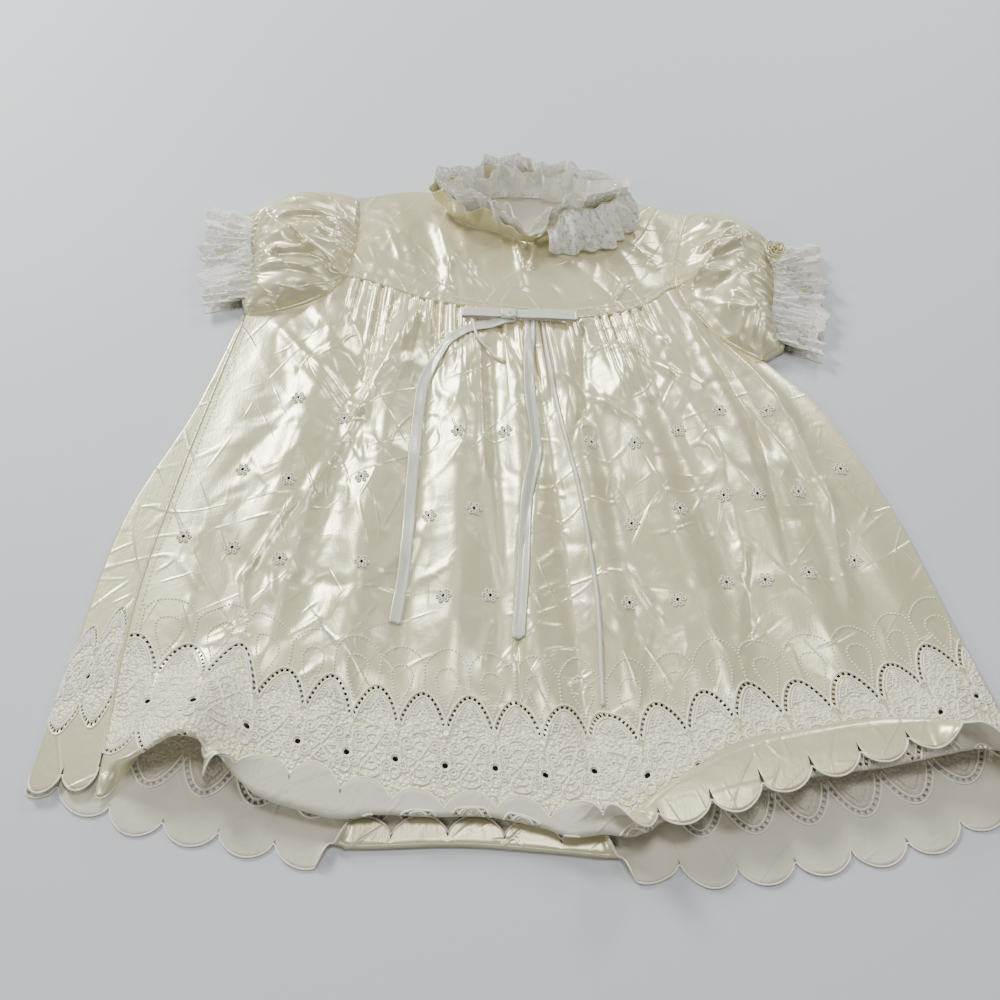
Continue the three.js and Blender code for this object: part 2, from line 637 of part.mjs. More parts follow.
const TOP_SIDES = 32;
const UNDER_SIDES = 12;
const TUBE_EDGE = 1.9;        // height of the folded edges of a flattened tube
const TUBE_INSET = 0.012;     // share of its width from a folded edge to the first column
const TUBE_WALL = 0.02;       // share of its width that the wall takes up at a folded edge
const SLEEVE_RISE = 1.4;      // of the upper layer next to a folded edge
const ACROSS_POWER = 0.6;     // how quickly the upper layer rises from its folded edges

// The armhole edge of skirt and yoke together, from the underarm up to the shoulder.
function armEdge(sleeve, w) {
  if (w < ARM_CORNER) {
    const s = w / ARM_CORNER;
    const u = sleeve.end === 0 ? mix(0, YOKE_FROM, s) : mix(1, YOKE_TO, s);
    return vec(readTable(SKIRT_TOP, 'x', 'u', u), readTable(SKIRT_TOP, 'y', 'u', u), 0);
  }
  const { x, y } = yokePlan(FRONT_NECK, sleeve.end, (w - ARM_CORNER) / (1 - ARM_CORNER));
  return vec(x, y, 0);
}

function sleevePlan(sleeve, w, b) {
  const bulge = mix(sleeve.lowBulge, sleeve.topBulge, ease(w) ** 3) * 4 * b * (1 - b);
  const along = armEdge(sleeve, Math.min(1, w + 0.03)).sub(armEdge(sleeve, Math.max(0, w - 0.03)));
  along.normalize();
  const side = sleeve.end === 0 ? -1 : 1;
  const arm = armEdge(sleeve, w).add(vec(along.y * side, -along.x * side, 0)
    .multiplyScalar(ARM_GAP));
  const at = (key) => mix(arm[key], readTable(sleeve.cuff, key, 'w', w), b);
  return { x: at('x'), y: at('y') + bulge };
}

function sleeveTop(sleeve, w, b) {
  const across = Math.sin(Math.PI * clamp(w)) ** ACROSS_POWER;
  const { x, y } = sleevePlan(sleeve, w, b);
  let z = SLEEVE_EDGE_Z + (SLEEVE_RISE + readTable(PUFF, 'h', 'b', b)) * across;
  const middle = Math.sin(Math.PI * clamp(b));
  for (const fold of sleeve.folds) z += ridge(x, y, fold) * across * middle;
  const arm = (1 - ease(b / 0.25)) * Math.sin(2 * Math.PI * ARMHOLE_GATHERS * w);
  const cuff = ease((b - 0.7) / 0.3) * Math.sin(2 * Math.PI * CUFF_GATHERS * w);
  return z + SLEEVE_GATHER_HEIGHT * (arm + cuff) * across;
}

// One ring of a flattened tube: the folded edge at w = 0, the layer on the table, the folded
// edge at w = 1, and the upper layer back again. The inner face is a wall further in.
function tubeRing(plan, topHeight, wall, sides) {
  const right = [];
  const wrong = [];
  const put = (w, z, wIn, zIn) => {
    const a = plan(w);
    const b = plan(wIn);
    right.push(vec(a.x, a.y, z));
    wrong.push(vec(b.x, b.y, zIn));
  };
  const outer = (s) => mix(TUBE_INSET, 1 - TUBE_INSET, s);
  const inner = (s) => mix(TUBE_INSET + TUBE_WALL, 1 - TUBE_INSET - TUBE_WALL, s);
  put(0, TUBE_EDGE, TUBE_WALL, TUBE_EDGE);
  for (let k = 0; k <= sides.under; k += 1) {
    const s = k / sides.under;
    put(outer(s), 0, inner(s), wall);
  }
  put(1, TUBE_EDGE, 1 - TUBE_WALL, TUBE_EDGE);
  for (let k = sides.top; k >= 0; k -= 1) {
    const s = k / sides.top;
    const z = topHeight(outer(s));
    put(outer(s), z, inner(s), Math.max(z - wall, wall + SEAM));
  }
  const t = right.map((_, k) => k / right.length);
  return { t, right, wrong };
}

function sleeveGeometry(sleeve) {
  const sides = { top: TOP_SIDES, under: UNDER_SIDES };
  const rows = SLEEVE_STATIONS.map((b) => tubeRing(
    (w) => sleevePlan(sleeve, w, b), (w) => sleeveTop(sleeve, w, b), CLOTH, sides,
  ));
  return wallGeometry(rows, true);
}

// A lace frill that goes on from the cuff, ruffled on its upper side.
const CUFF_LACE = { length: 13, waves: 10, height: 2.0, start: 0.8, restZ: 4.6, under: 7 };
function cuffLace(sleeve) {
  const sides = { top: CUFF_LACE.waves * 4, under: CUFF_LACE.under };
  const rows = [0, 0.5, 1].map((e) => {
    const reach = CUFF_LACE.start + e * CUFF_LACE.length;
    const plan = (w) => {
      const root = sleevePlan(sleeve, w, 1);
      const way = vec(readTable(sleeve.fan, 'x', 'w', w), readTable(sleeve.fan, 'y', 'w', w), 0);
      way.normalize();
      return { x: root.x + way.x * reach, y: root.y + way.y * reach };
    };
    const height = (w) => {
      const across = Math.sin(Math.PI * clamp(w)) ** ACROSS_POWER;
      const wave = CUFF_LACE.height * e * Math.sin(2 * Math.PI * CUFF_LACE.waves * w);
      return mix(sleeveTop(sleeve, w, 1), CUFF_LACE.restZ + wave * across, ease(e));
    };
    return tubeRing(plan, height, LACE, sides);
  });
  return wallGeometry(rows, true);
}

// The highest point of some meshes near a place, so that one piece can rest on others.
function upperFaces(geometries) {
  const faces = [];
  for (const geometry of geometries) {
    const position = geometry.attributes.position;
    const index = geometry.index.array;
    for (let f = 0; f < index.length; f += 3) {
      const [a, b, c] = [0, 1, 2].map((k) => vec().fromBufferAttribute(position, index[f + k]));
      const area = (b.x - a.x) * (c.y - a.y) - (c.x - a.x) * (b.y - a.y);
      if (area > 1e-6) faces.push({ a, b, c, area });
    }
  }
  return faces;
}

function heightAt(faces, x, y) {
  let best = -Infinity;
  for (const { a, b, c, area } of faces) {
    const wa = ((b.x - x) * (c.y - y) - (c.x - x) * (b.y - y)) / area;
    const wb = ((c.x - x) * (a.y - y) - (a.x - x) * (c.y - y)) / area;
    const wc = 1 - wa - wb;
    if (wa >= 0 && wb >= 0 && wc >= 0) best = Math.max(best, wa * a.z + wb * b.z + wc * c.z);
  }
  return best;
}

function highestNear(faces, x, y, reach) {
  const offsets = [-reach, -reach / 2, 0, reach / 2, reach];
  const heights = offsets.flatMap((dx) => offsets.map((dy) => heightAt(faces, x + dx, y + dy)));
  return Math.max(...heights);
}

// Neck frill and lace: two rings that stand on the neck edge. angle 0 is the front middle,
// 90 the right, 180 the back. lean is how far the ring tips outward from upright.
const NECK = { x: -1, y: 180, wide: 46, front: 22, back: 21, tilt: -0.05 };
const NECK_STANCE = [
  { angle: -180, lean: 8, seat: 2.2 },
  { angle: -135, lean: 12, seat: 2.4 },
  { angle: -90, lean: 24, seat: 3.6 },
  { angle: -45, lean: 42, seat: 7.0 },
  { angle: 0, lean: 50, seat: 8.0 },
  { angle: 45, lean: 50, seat: 7.0 },
  { angle: 90, lean: 46, seat: 3.6 },
  { angle: 135, lean: 20, seat: 2.4 },
  { angle: 180, lean: 8, seat: 2.2 },
];
const NECK_RUFFLES = 15;
const NECK_SEAT_REACH = 5;    // round each foot, where the neck edge must be cleared
const NECK_SEAT_LESS = 1.5;   // how far a foot may sink below its seat value
const RUFFLE_FROM = 14;       // length at which a ruffle has its full depth
const RUFFLE_START = 0.6;
const NECK_FRILL = { inset: 0, length: 15, wave: 1.6, wall: CLOTH, slack: 0 };
const NECK_LACE = { inset: 3.2, length: 22, wave: 1.6, wall: LACE, slack: 5 };

function neckRing(kind, under) {
  const count = NECK_RUFFLES * 4;
  const shares = [0, 0.5, 1];
  const rows = shares.map(() => ({ t: [], right: [], wrong: [] }));
  for (let k = 0; k < count; k += 1) {
    const angle = -180 + (360 * k) / count;
    const a = (angle * Math.PI) / 180;
    const out = vec(Math.sin(a), -Math.cos(a), 0);
    const deep = out.y < 0 ? NECK.front : NECK.back;
    const base = vec(NECK.x + (NECK.wide - kind.inset) * out.x,
      NECK.y + (deep - kind.inset) * out.y, 0);
    base.y += NECK.tilt * (base.x - NECK.x);
    const seat = readTable(NECK_STANCE, 'seat', 'angle', angle);
    const edge = base.clone().addScaledVector(out, kind.inset);
    const carried = highestNear(under, edge.x, edge.y, NECK_SEAT_REACH);
    base.z = Math.max(seat - NECK_SEAT_LESS, carried + SEAM + CLOTH / 2);
    const lean = ((readTable(NECK_STANCE, 'lean', 'angle', angle) - kind.slack) * Math.PI) / 180;
    const up = out.clone().multiplyScalar(Math.sin(lean)).setZ(Math.cos(lean));
    const face = out.clone().multiplyScalar(Math.cos(lean)).setZ(-Math.sin(lean));
    const wave = Math.sin((2 * Math.PI * NECK_RUFFLES * k) / count + RUFFLE_START);
    shares.forEach((e, i) => {
      const reach = e * kind.length;
      const middle = base.clone().addScaledVector(up, reach);
      middle.addScaledVector(face, kind.wave * wave * Math.min(1, reach / RUFFLE_FROM));
      const half = kind.wall / 2;
      const turned = i === 0 ? out : face;
      rows[i].t.push(k / count);
      rows[i].right.push(middle.clone().addScaledVector(turned, half));
      rows[i].wrong.push(middle.clone().addScaledVector(turned, -half));
    });
  }
  return wallGeometry(rows, true);
}

// Ribbon: a flat strip along a centre line that keeps clear of what it lies on.
function ribbonStrip(points, width) {
  const rows = points.map((p, k) => {
    const before = points[Math.max(0, k - 1)];
    const after = points[Math.min(points.length - 1, k + 1)];
    const along = after.clone().sub(before).normalize();
    const flat = vec(along.x, along.y, 0).normalize();
    const side = vec(flat.y, -flat.x, 0);
    const face = side.clone().cross(along).normalize();
    const corner = (s, h) => p.clone().addScaledVector(side, s * width / 2)
      .addScaledVector(face, h * RIBBON_WALL / 2);
    return { t: [0, 1], right: [corner(-1, 1), corner(1, 1)], wrong: [corner(-1, -1), corner(1, -1)] };
  });
  return wallGeometry(rows);
}

const RIBBON_FEEL = 0.72;     // how far round a point, in widths or steps, it is kept clear
function layRibbon(under, route, width, steps) {
  const curve = new THREE.CatmullRomCurve3(route.map(([x, y]) => vec(x, y, 0)), false, 'centripetal');
  const places = curve.getSpacedPoints(steps);
  const step = curve.getLength() / steps;
  const reach = Math.max(width, step) * RIBBON_FEEL;
  return ribbonStrip(places.map((p) => p.setZ(
    highestNear(under, p.x, p.y, reach) + SEAM + RIBBON_WALL / 2,
  )), width);
}

// Tails of the bow, as they lie on the skirt
const RIBBON_ROUTES = {
  ribbon_left: {
    route: [[-17, 86], [-35.9, 79.5], [-44.9, 69.6], [-53.9, 48.3], [-56, 31], [-58.1, -20.8],
      [-59.5, -68.1], [-62.7, -101]],
    width: RIBBON_WIDTH, steps: 26,
  },
  ribbon_centre: {
    route: [[2.6, 86], [1.9, 39.9], [5, 3.9], [3.6, -8], [-0.6, -32.4], [-2.6, -73.2], [-5.3, -108.9]],
    width: RIBBON_WIDTH, steps: 26,
  },
  ribbon_rolled: {
    route: [[10.5, 86], [12, 62.4], [17.5, 20.3], [25.4, -24.5], [29.8, -64.1], [32, -90.2],
      [32.2, -143.7]],
    width: 2.4, steps: 36,
  },
  ribbon_short: {
    route: [[-25.5, 74.5], [-19.5, 67], [-11.3, 58]],
    width: 2.0, steps: 5,
  },
};

// The bow: two flat loops and the knot between them
const BOW = { x: -9, y: 92.5, slant: -0.05, height: 2.2, knot: 9, feel: 0.8 };
const LOOP_END = 1.1;         // how far a loop's fold bulges past its end
const LOOP_WAVE = { height: 0.5, step: 0.8 };
const BOW_LOOPS = {
  bow_left_loop: { reach: -25, width: RIBBON_WIDTH },
  bow_right_loop: { reach: 37, width: RIBBON_WIDTH },
};

function bowLoop(under, loop) {
  const sign = Math.sign(loop.reach);
  const from = BOW.x + sign * (BOW.knot / 2 + SEAM);
  const to = BOW.x + loop.reach;
  const line = [];
  const base = [0, 0.25, 0.5, 0.75, 1].map((s) => mix(from, to, s));
  const middleY = (x) => BOW.y + (x - BOW.x) * BOW.slant;
  const carried = base.map((x) => highestNear(under, x, middleY(x), RIBBON_WIDTH * BOW.feel));
  const rest = Math.max(...carried) + SEAM + RIBBON_WALL / 2;
  const at = (x, z) => vec(x, middleY(x), z);
  base.forEach((x) => line.push(at(x, rest)));
  line.push(at(to + sign * LOOP_END, rest + BOW.height / 2));
  base.reverse().forEach((x, k) => {
    line.push(at(x, rest + BOW.height + LOOP_WAVE.height * Math.sin(k * LOOP_WAVE.step)));
  });
  const rows = line.map((p, k) => {
    const before = line[Math.max(0, k - 1)];
    const after = line[Math.min(line.length - 1, k + 1)];
    const along = after.clone().sub(before).normalize();
    const face = vec(-along.z, 0, along.x).normalize();
    const corner = (s, h) => p.clone().add(vec(0, s * loop.width / 2, 0))
      .addScaledVector(face, h * RIBBON_WALL / 2);
    return { t: [0, 1], right: [corner(-1, 1), corner(1, 1)], wrong: [corner(-1, -1), corner(1, -1)] };
  });
  return wallGeometry(rows);
}

const KNOT = { corner: 1.6, depth: 2.4, bevel: 0.6, bevelSize: 0.5 };
function bowKnot(under) {
  const shape = new THREE.Shape();
  const [w, h, r] = [BOW.knot / 2, RIBBON_WIDTH / 2, KNOT.corner];
  shape.moveTo(-w + r, -h);
  shape.lineTo(w - r, -h);
  shape.absarc(w - r, -h + r, r, -Math.PI / 2, 0);
  shape.lineTo(w, h - r);
  shape.absarc(w - r, h - r, r, 0, Math.PI / 2);
  shape.lineTo(-w + r, h);
  shape.absarc(-w + r, h - r, r, Math.PI / 2, Math.PI);
  shape.lineTo(-w, -h + r);
  shape.absarc(-w + r, -h + r, r, Math.PI, 1.5 * Math.PI);
  const geometry = new THREE.ExtrudeGeometry(shape, {
    depth: KNOT.depth,
    bevelEnabled: true,
    bevelThickness: KNOT.bevel,
    bevelSize: KNOT.bevelSize,
    bevelOffset: -KNOT.bevelSize,
    bevelSegments: 1,
    curveSegments: 2,
  });
  const rest = highestNear(under, BOW.x, BOW.y, BOW.knot * BOW.feel);
  geometry.translate(BOW.x, BOW.y, rest + SEAM + KNOT.bevel);
  return geometry;
}

// A small rosette of gathered satin on the right cuff
const ROSETTE = { x: 141, y: 131, radius: 7, height: 5, sides: 14 };
const ROSETTE_PROFILE = [     // shares of the radius and of the height
  [0, 0], [0.8, 0], [1, 0.25], [0.85, 0.55], [0.68, 0.45], [0.6, 0.85], [0.42, 0.7], [0.3, 1],
  [0, 0.85],
];
function rosette(under) {
  const profile = ROSETTE_PROFILE.map(([across, up]) => (
    new THREE.Vector2(across * ROSETTE.radius, up * ROSETTE.height)));
  const geometry = new THREE.LatheGeometry(profile, ROSETTE.sides);
  geometry.rotateX(Math.PI / 2);
  const rest = highestNear(under, ROSETTE.x, ROSETTE.y, ROSETTE.radius);
  geometry.translate(ROSETTE.x, ROSETTE.y, rest + SEAM);
  return geometry;
}

// The gown
const gown = new THREE.Group();
function add(name, geometry, colour) {
  const material = new THREE.MeshStandardMaterial({ color: colour, roughness: 0.45, metalness: 0 });
  const mesh = new THREE.Mesh(geometry, material);
  mesh.name = name;
  gown.add(mesh);
  return mesh;
}

const front = frontSkirt();
const yoke = frontYoke();
const backYokeSolid = backYoke();
add('back_skirt', backSkirt(), COLOURS.lining);
add('front_skirt', front, COLOURS.satin);
add('front_yoke', yoke, COLOURS.satin);
add('back_yoke', backYokeSolid, COLOURS.satin);
for (const [side, sleeve] of Object.entries(SLEEVES)) {
  const tube = sleeveGeometry(sleeve);
  const lace = cuffLace(sleeve);
  add(`${side}_sleeve`, tube, COLOURS.satin);
  add(`${side}_cuff_lace`, lace, COLOURS.lace);
  if (side === 'right') add('right_cuff_rosette', rosette(upperFaces([tube, lace])), COLOURS.satin);
}
const yokes = upperFaces([yoke, backYokeSolid]);
add('neck_frill', neckRing(NECK_FRILL, yokes), COLOURS.satin);
add('neck_lace', neckRing(NECK_LACE, yokes), COLOURS.lace);
const seamFaces = upperFaces([yoke, front]);
for (const [name, loop] of Object.entries(BOW_LOOPS)) add(name, bowLoop(seamFaces, loop), COLOURS.ribbon);
add('bow_knot', bowKnot(seamFaces), COLOURS.ribbon);
const skirtFaces = upperFaces([front]);
for (const [name, { route, width, steps }] of Object.entries(RIBBON_ROUTES)) {
  add(name, layRibbon(skirtFaces, route, width, steps), COLOURS.ribbon);
}

gown.position.set(-CENTRE.x, -CENTRE.y, 0);

export default gown;
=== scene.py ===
# %% [markdown]
# A baby's christening gown, laid on its back with its hem partly turned up. It is ivory satin:
# a yoke with a neck frill, two puffed sleeves with lace cuffs, and a long gathered skirt with an
# eyelet-embroidered border. Satin is all about folds, because it mirrors light along each one.
# So every panel here is a formula for its cloth, with its folds added one by one, and the
# embroidery, stitches and lace are drawn on those formulas.
# The first cell loads the solid pieces that this dressed model stands for.

# %% Load the frame
import math

import bpy
import numpy as np
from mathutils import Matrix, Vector, noise
from mathutils.bvhtree import BVHTree


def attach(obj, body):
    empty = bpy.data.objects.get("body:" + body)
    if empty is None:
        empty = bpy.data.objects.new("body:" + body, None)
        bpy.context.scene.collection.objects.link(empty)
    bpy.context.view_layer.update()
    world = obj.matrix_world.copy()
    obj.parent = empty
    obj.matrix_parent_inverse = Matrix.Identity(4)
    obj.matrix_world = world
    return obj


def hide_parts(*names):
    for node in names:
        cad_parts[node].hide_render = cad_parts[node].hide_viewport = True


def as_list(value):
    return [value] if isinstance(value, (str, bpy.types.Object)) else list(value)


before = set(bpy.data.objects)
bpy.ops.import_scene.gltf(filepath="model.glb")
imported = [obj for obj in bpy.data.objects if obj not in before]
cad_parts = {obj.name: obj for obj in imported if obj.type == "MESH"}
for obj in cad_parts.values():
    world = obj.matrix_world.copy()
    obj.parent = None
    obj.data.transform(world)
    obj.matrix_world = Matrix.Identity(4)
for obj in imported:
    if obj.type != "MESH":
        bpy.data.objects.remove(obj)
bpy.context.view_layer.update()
print("nodes:", sorted(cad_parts))

# %% [markdown]
# The sizes are millimetres, measured on the gown with +y towards the neck. The solids' origin
# is under the middle of the gown, so one function shifts the points there and makes metres.
# Left and right are as seen from the hem.

# %% Sizes and small number helpers
MM = 0.001
CENTRE = np.array([1.15, -9.7, 0.0])
SATIN_THICK = 0.5
SCALLOPS = 18
SCALLOP_DEPTH = 10.0
PITCH = 22.4                # one scallop of the front hem
COLUMNS = 19                # cells of the cloth's grid in one scallop
FRONT_START = 6             # cells of the first scallop that the side seam takes


def in_frame(points):
    return (np.asarray(points, float) - CENTRE) * MM


def mix(a, b, t):
    return a + (b - a) * t


def ease(t):
    t = np.clip(t, 0.0, 1.0)
    return t * t * (3 - 2 * t)


def bell(distance, width):
    return np.exp(-(np.abs(distance) / width) ** 2)


def table(columns, rows):
    values = np.array(rows, float)
    return {name: values[:, k] for k, name in enumerate(columns.split())}


def read_table(tab, key, by, t):
    """A smooth curve through one column of a table, read at positions t of another column."""
    x, y = tab[by], tab[key]
    last = len(x) - 1
    before = np.maximum(np.arange(last + 1) - 1, 0)
    after = np.minimum(np.arange(last + 1) + 1, last)
    slope = (y[after] - y[before]) / (x[after] - x[before])
    t = np.clip(t, x[0], x[-1])
    i = np.clip(np.searchsorted(x, t, side="right") - 1, 0, last - 1)
    span = x[i + 1] - x[i]
    s = (t - x[i]) / span
    rise = y[i + 1] - y[i]
    m0, m1 = slope[i] * span, slope[i + 1] * span
    return y[i] + s * (m0 + s * (3 * rise - 2 * m0 - m1 + s * (m0 + m1 - 2 * rise)))


# %% [markdown]
# The panels. Each is cut from a flat piece between a top edge, a hem line and two sides. The
# tables below are the lines of the solid pieces, so that the cloth lies where the solids are.
# In the front hem's table, turn is the angle of the first fold in degrees, flap the flat stretch
# after it, turn2 the second fold, tail the stretch after that, and slack the extra cloth that is
# tucked into the folds under the pattern.

# %% Outlines of the skirt panels
SKIRT_TOP = table("u x y", [
    (0.000, -155, 95), (0.045, -131, 100), (0.080, -112, 111), (0.110, -102, 124),
    (0.300, -56, 107), (0.500, -8, 96), (0.650, 28, 92), (0.800, 64, 100), (0.890, 86, 115),
    (0.925, 92, 100), (0.962, 108, 77), (1.000, 130, 62),
])
YOKE_FROM = 0.110
YOKE_TO = 0.890
LEFT_SEAM = table("v x y", [
    (0.00, -155, 95), (0.20, -165, 43), (0.45, -177, -24), (0.70, -186, -92), (1.00, -187, -168),
])
LEFT_OUTLINE = table("v x y", [
    (0.00, -158, 95), (0.20, -175, 28), (0.45, -200, -40), (0.70, -210, -110), (1.00, -217, -170),
])
RIGHT_OUTLINE = table("v x y", [
    (0.00, 130, 62), (0.20, 157, 26), (0.45, 182, -38), (0.70, 199, -104), (1.00, 216, -166),
])
FRONT_HEM = table("x y z turn flap turn2 tail slack", [
    (-187, -168, 3.9, 0, 3, 0, 3, 0), (-181, -171, 9, -35, 3, 0, 2, 0),
    (-173, -171, 14.5, -120, 5, 0, 2, 0), (-163, -167, 19, -170, 12, 0, 2, 2),
    (-154, -163, 22, -170, 17, 0, 2, 0), (-145, -163, 21, -130, 12, 0, 2, -5),
    (-137, -166, 16, 10, 4, 0, -2, -16), (-128, -176, 12, 150, 2, 0, -2, -14),
    (-117, -185, 9, 180, 4, 0, 0, -4), (-99, -191, 7, 180, 7, 0, 2, 3), (-81, -195, 6.5, 180, 5, 0, 2, 1),
    (-66, -193, 6.5, 180, 3, 0, -1, -8), (-42, -194, 6.5, 180, 2, 0, -4, -15),
    (-19, -194, 6.5, 180, 2, 0, -4, -16), (5, -199, 6.5, 180, 2, 0, -3, -13),
    (16, -203, 7, 180, 3, 0, -2, -9), (30, -202, 7.5, 180, 4, 50, 0, -3),
    (42, -203, 8, 180, 6, 130, 2, -3), (54, -197, 9, 180, 9, 180, 6, 4),
    (68, -191, 9, 180, 13, 180, 12, 10), (85, -187, 9, 180, 20, 180, 19, 25),
    (105, -181, 9, 180, 21, 180, 18, 23), (121, -177, 9, 180, 20, 180, 16, 17),
    (152, -173, 9.5, 180, 20, 180, 11, 13), (176, -168, 10, 180, 15, 175, 5, 4),
    (192, -165, 10, 150, 9, 80, 3, 0), (206, -165, 7, 60, 5, 0, 2, 0), (216, -166, 2.8, 0, 2, 0, -1, 0),
])
FRONT_LEFT = -187           # x of the front hem's left end
HEM_WIDTH = 403
FRONT_HEM["u"] = (FRONT_HEM["x"] - FRONT_LEFT) / HEM_WIDTH
BACK_HEM = table("x y turn", [
    (-217, -170, 0), (-197, -176, 0), (-173, -186, 0), (-149, -191, 0), (-123, -196, 0),
    (-98, -201, 0), (-90, -203, 0), (-84, -204, 90), (-78, -206, 180), (-30, -205, 180),
    (10, -208, 180), (30, -210, 180), (36, -210, 90), (42, -209, 0), (54, -207, 0), (75, -210, 0),
    (100, -208, 0), (123, -204, 0), (149, -200, 0), (171, -194, 0), (195, -183, 0), (216, -171, 0),
])
BACK_LEFT = -217
BACK_WIDTH = 433
BACK_HEM["u"] = (BACK_HEM["x"] - BACK_LEFT) / BACK_WIDTH
SIDE_SHARE = 0.25           # share of the width over which a side's curve dies out


def panel_plan(u, v, hem, left):
    left_share = np.clip(1 - u / SIDE_SHARE, 0, 1) ** 2
    right_share = np.clip(1 - (1 - u) / SIDE_SHARE, 0, 1) ** 2

    def at(key):
        def bulge(tab):
            return read_table(tab, key, "v", v) - mix(tab[key][0], tab[key][-1], v)
        straight = mix(read_table(SKIRT_TOP, key, "u", u), read_table(hem, key, "u", u), v)
        return straight + left_share * bulge(left) + right_share * bulge(RIGHT_OUTLINE)
    return at("x"), at("y")


# %% [markdown]
# Folds. A crease in satin is a sharp line between two soft slopes. Each row of a crease table
# gives the two ends of one, its width and height, negative for a valley. Small crumples are
# scattered from a fixed seed, because no one would place hundreds by hand.

# %% Creases
def creases(x, y, rows):
    """Height of the creases of a table, each with sharp sides and soft ends."""
    total = np.zeros_like(x)
    for x0, y0, x1, y1, width, height in rows:
        dx, dy = x1 - x0, y1 - y0
        length = math.hypot(dx, dy)
        along = ((x - x0) * dx + (y - y0) * dy) / length
        off = ((x - x0) * dy - (y - y0) * dx) / length
        past = np.maximum(0, np.maximum(-along, along - length))
        profile = np.exp(-(np.abs(off) / width) ** 1.5)
        total += height * profile * bell(past, max(1.6 * width, 0.16 * length))
    return total


def crumple(x, y, seed, count, box, lengths, widths, height, slant=(0, math.pi)):
    """Height of many slightly bent creases, scattered over a box of x and y."""
    random = np.random.default_rng(seed)
    total = np.zeros_like(x)
    for _ in range(count):
        cx, cy = random.uniform(box[0], box[2]), random.uniform(box[1], box[3])
        angle = random.uniform(*slant)
        length, width = random.uniform(*lengths), random.uniform(*widths)
        size = random.uniform(-1, 1) * height
        near = (np.abs(x - cx) < length * 1.6) & (np.abs(y - cy) < length * 1.6)
        if not near.any():
            continue
        px, py = x[near] - cx, y[near] - cy
        along = px * math.cos(angle) + py * math.sin(angle)
        off = px * math.sin(angle) - py * math.cos(angle) + 0.02 * along ** 2 * np.sign(size)
        total[near] += size * np.exp(-(np.abs(off) / width) ** 1.4) * bell(along, length / 2)
    return total


def wrinkle_net(x, y, cell, seed):
    """A net of thin ridges between smooth patches, 1 on a ridge and 0 in a patch."""
    flat = [noise.noise(Vector((a / cell, b / (1.5 * cell), seed))) for a, b in zip(x.ravel(), y.ravel())]
    return np.exp(-(np.abs(np.array(flat)) / 0.08) ** 1.2).reshape(x.shape)


# %% [markdown]
# The front skirt is one formula: give it the share u across the panel and the length s of
# cloth above the scallops' tips, and it says where that bit of cloth is. Up on the panel that
# is a height over the table. Past the hem's fold, it is a path that turns over, runs back and,
# on the right, turns over once more, which is how the plain satin edge comes to lie on top.

# %% The front skirt's main folds
FOLDS = table("top hem width height start stop", [
    (0.13, 0.10, 9, 2.6, 0.05, 0.70), (0.20, 0.17, 8, -1.8, 0.02, 0.80),
    (0.26, 0.23, 9, 2.9, 0.00, 0.95), (0.33, 0.31, 8, -2.1, 0.02, 0.90),
    (0.40, 0.37, 9, 2.6, 0.05, 0.85), (0.46, 0.43, 7, -1.7, 0.00, 0.90),
    (0.50, 0.48, 8, 2.6, 0.04, 0.90), (0.55, 0.535, 5, -2.3, 0.00, 1.00),
    (0.60, 0.59, 7, 2.3, 0.00, 0.90), (0.64, 0.63, 7, -2.0, 0.02, 0.60),
    (0.71, 0.71, 9, 2.9, 0.03, 0.95), (0.77, 0.77, 8, -2.1, 0.02, 0.85),
    (0.84, 0.85, 10, 2.9, 0.02, 0.90), (0.91, 0.93, 9, -1.6, 0.10, 0.80),
])
SKIRT_CREASES = [
    (-64, 88, -88, 23, 4, 1.8), (-88, 23, -107, -24, 4, 1.6), (-107, -24, -120, -111, 5, 1.2),
    (-73, 106, -76, 82, 2, -1.2), (-25, 71, -22, -1, 2.6, 1.6), (-22, -1, -14, -67, 3, 1.2),
    (-15, 90, 2, 48, 1.8, -1.5), (2, 48, 5, -1, 2, -1.8), (5, -1, -2, -56, 2, -2.0),
    (-2, -56, -5, -109, 1.8, -2.0), (-5, -109, -4, -150, 1.8, -1.5), (32, 90, 31, 30, 1.6, -1.4),
    (31, 30, 24, 8, 1.4, -1), (38, 71, 61, 68, 2.2, 1), (61, 68, 78, 51, 2.2, 1.2),
    (78, 51, 92, 41, 2.2, 1), (35, 37, 57, 18, 2, 1.1), (59, 90, 76, 73, 2, 1),
    (63, 81, 98, -1, 5, 1.4), (98, -1, 104, -67, 5, 1.4), (104, -67, 96, -116, 5, 1.0),
    (96, 81, 120, 12, 4, -1.3), (120, 12, 125, -67, 4, -1.3), (93, 112, 133, 32, 4, 1.6),
    (133, 32, 150, -32, 4, 1.6), (150, -32, 150, -90, 4, 1.1), (-135, 84, -90, 28, 2.2, 1.5),
    (-123, 63, -100, 30, 2, 1.1), (49, -75, 61, -98, 2, 1), (107, -67, 104, -96, 3, -0.8),
    (-50, -76, -39, -71, 1.6, 0.6), (-18, -102, -22, -119, 1.8, 0.8), (6, -70, 13, -62, 1.4, 0.6),
    (5, -86, 16, -78, 1.4, 0.6), (-132, -67, -136, -76, 1.6, 0.9), (-136, -76, -134, -94, 1.6, 0.9),
    (-167, -67, -157, -81, 1.8, 0.9), (-148, -112, -132, -106, 1.5, 0.8),
    (-140, -93, -141, -106, 1.5, 0.7), (-160, -89, -160, -100, 1.6, 0.7),
    (-123, -70, -121, -87, 1.7, 0.8), (-109, -107, -99, -100, 1.5, 0.8),
    (-102, -128, -96, -124, 1.4, 0.6), (-117, -35, -132, -67, 1.8, 0.9), (-66, 71, -56, 104, 3, 1.2),
    (-107, 81, -119, 104, 3, 1), (-101, 104, -87, 71, 3, -1),
]
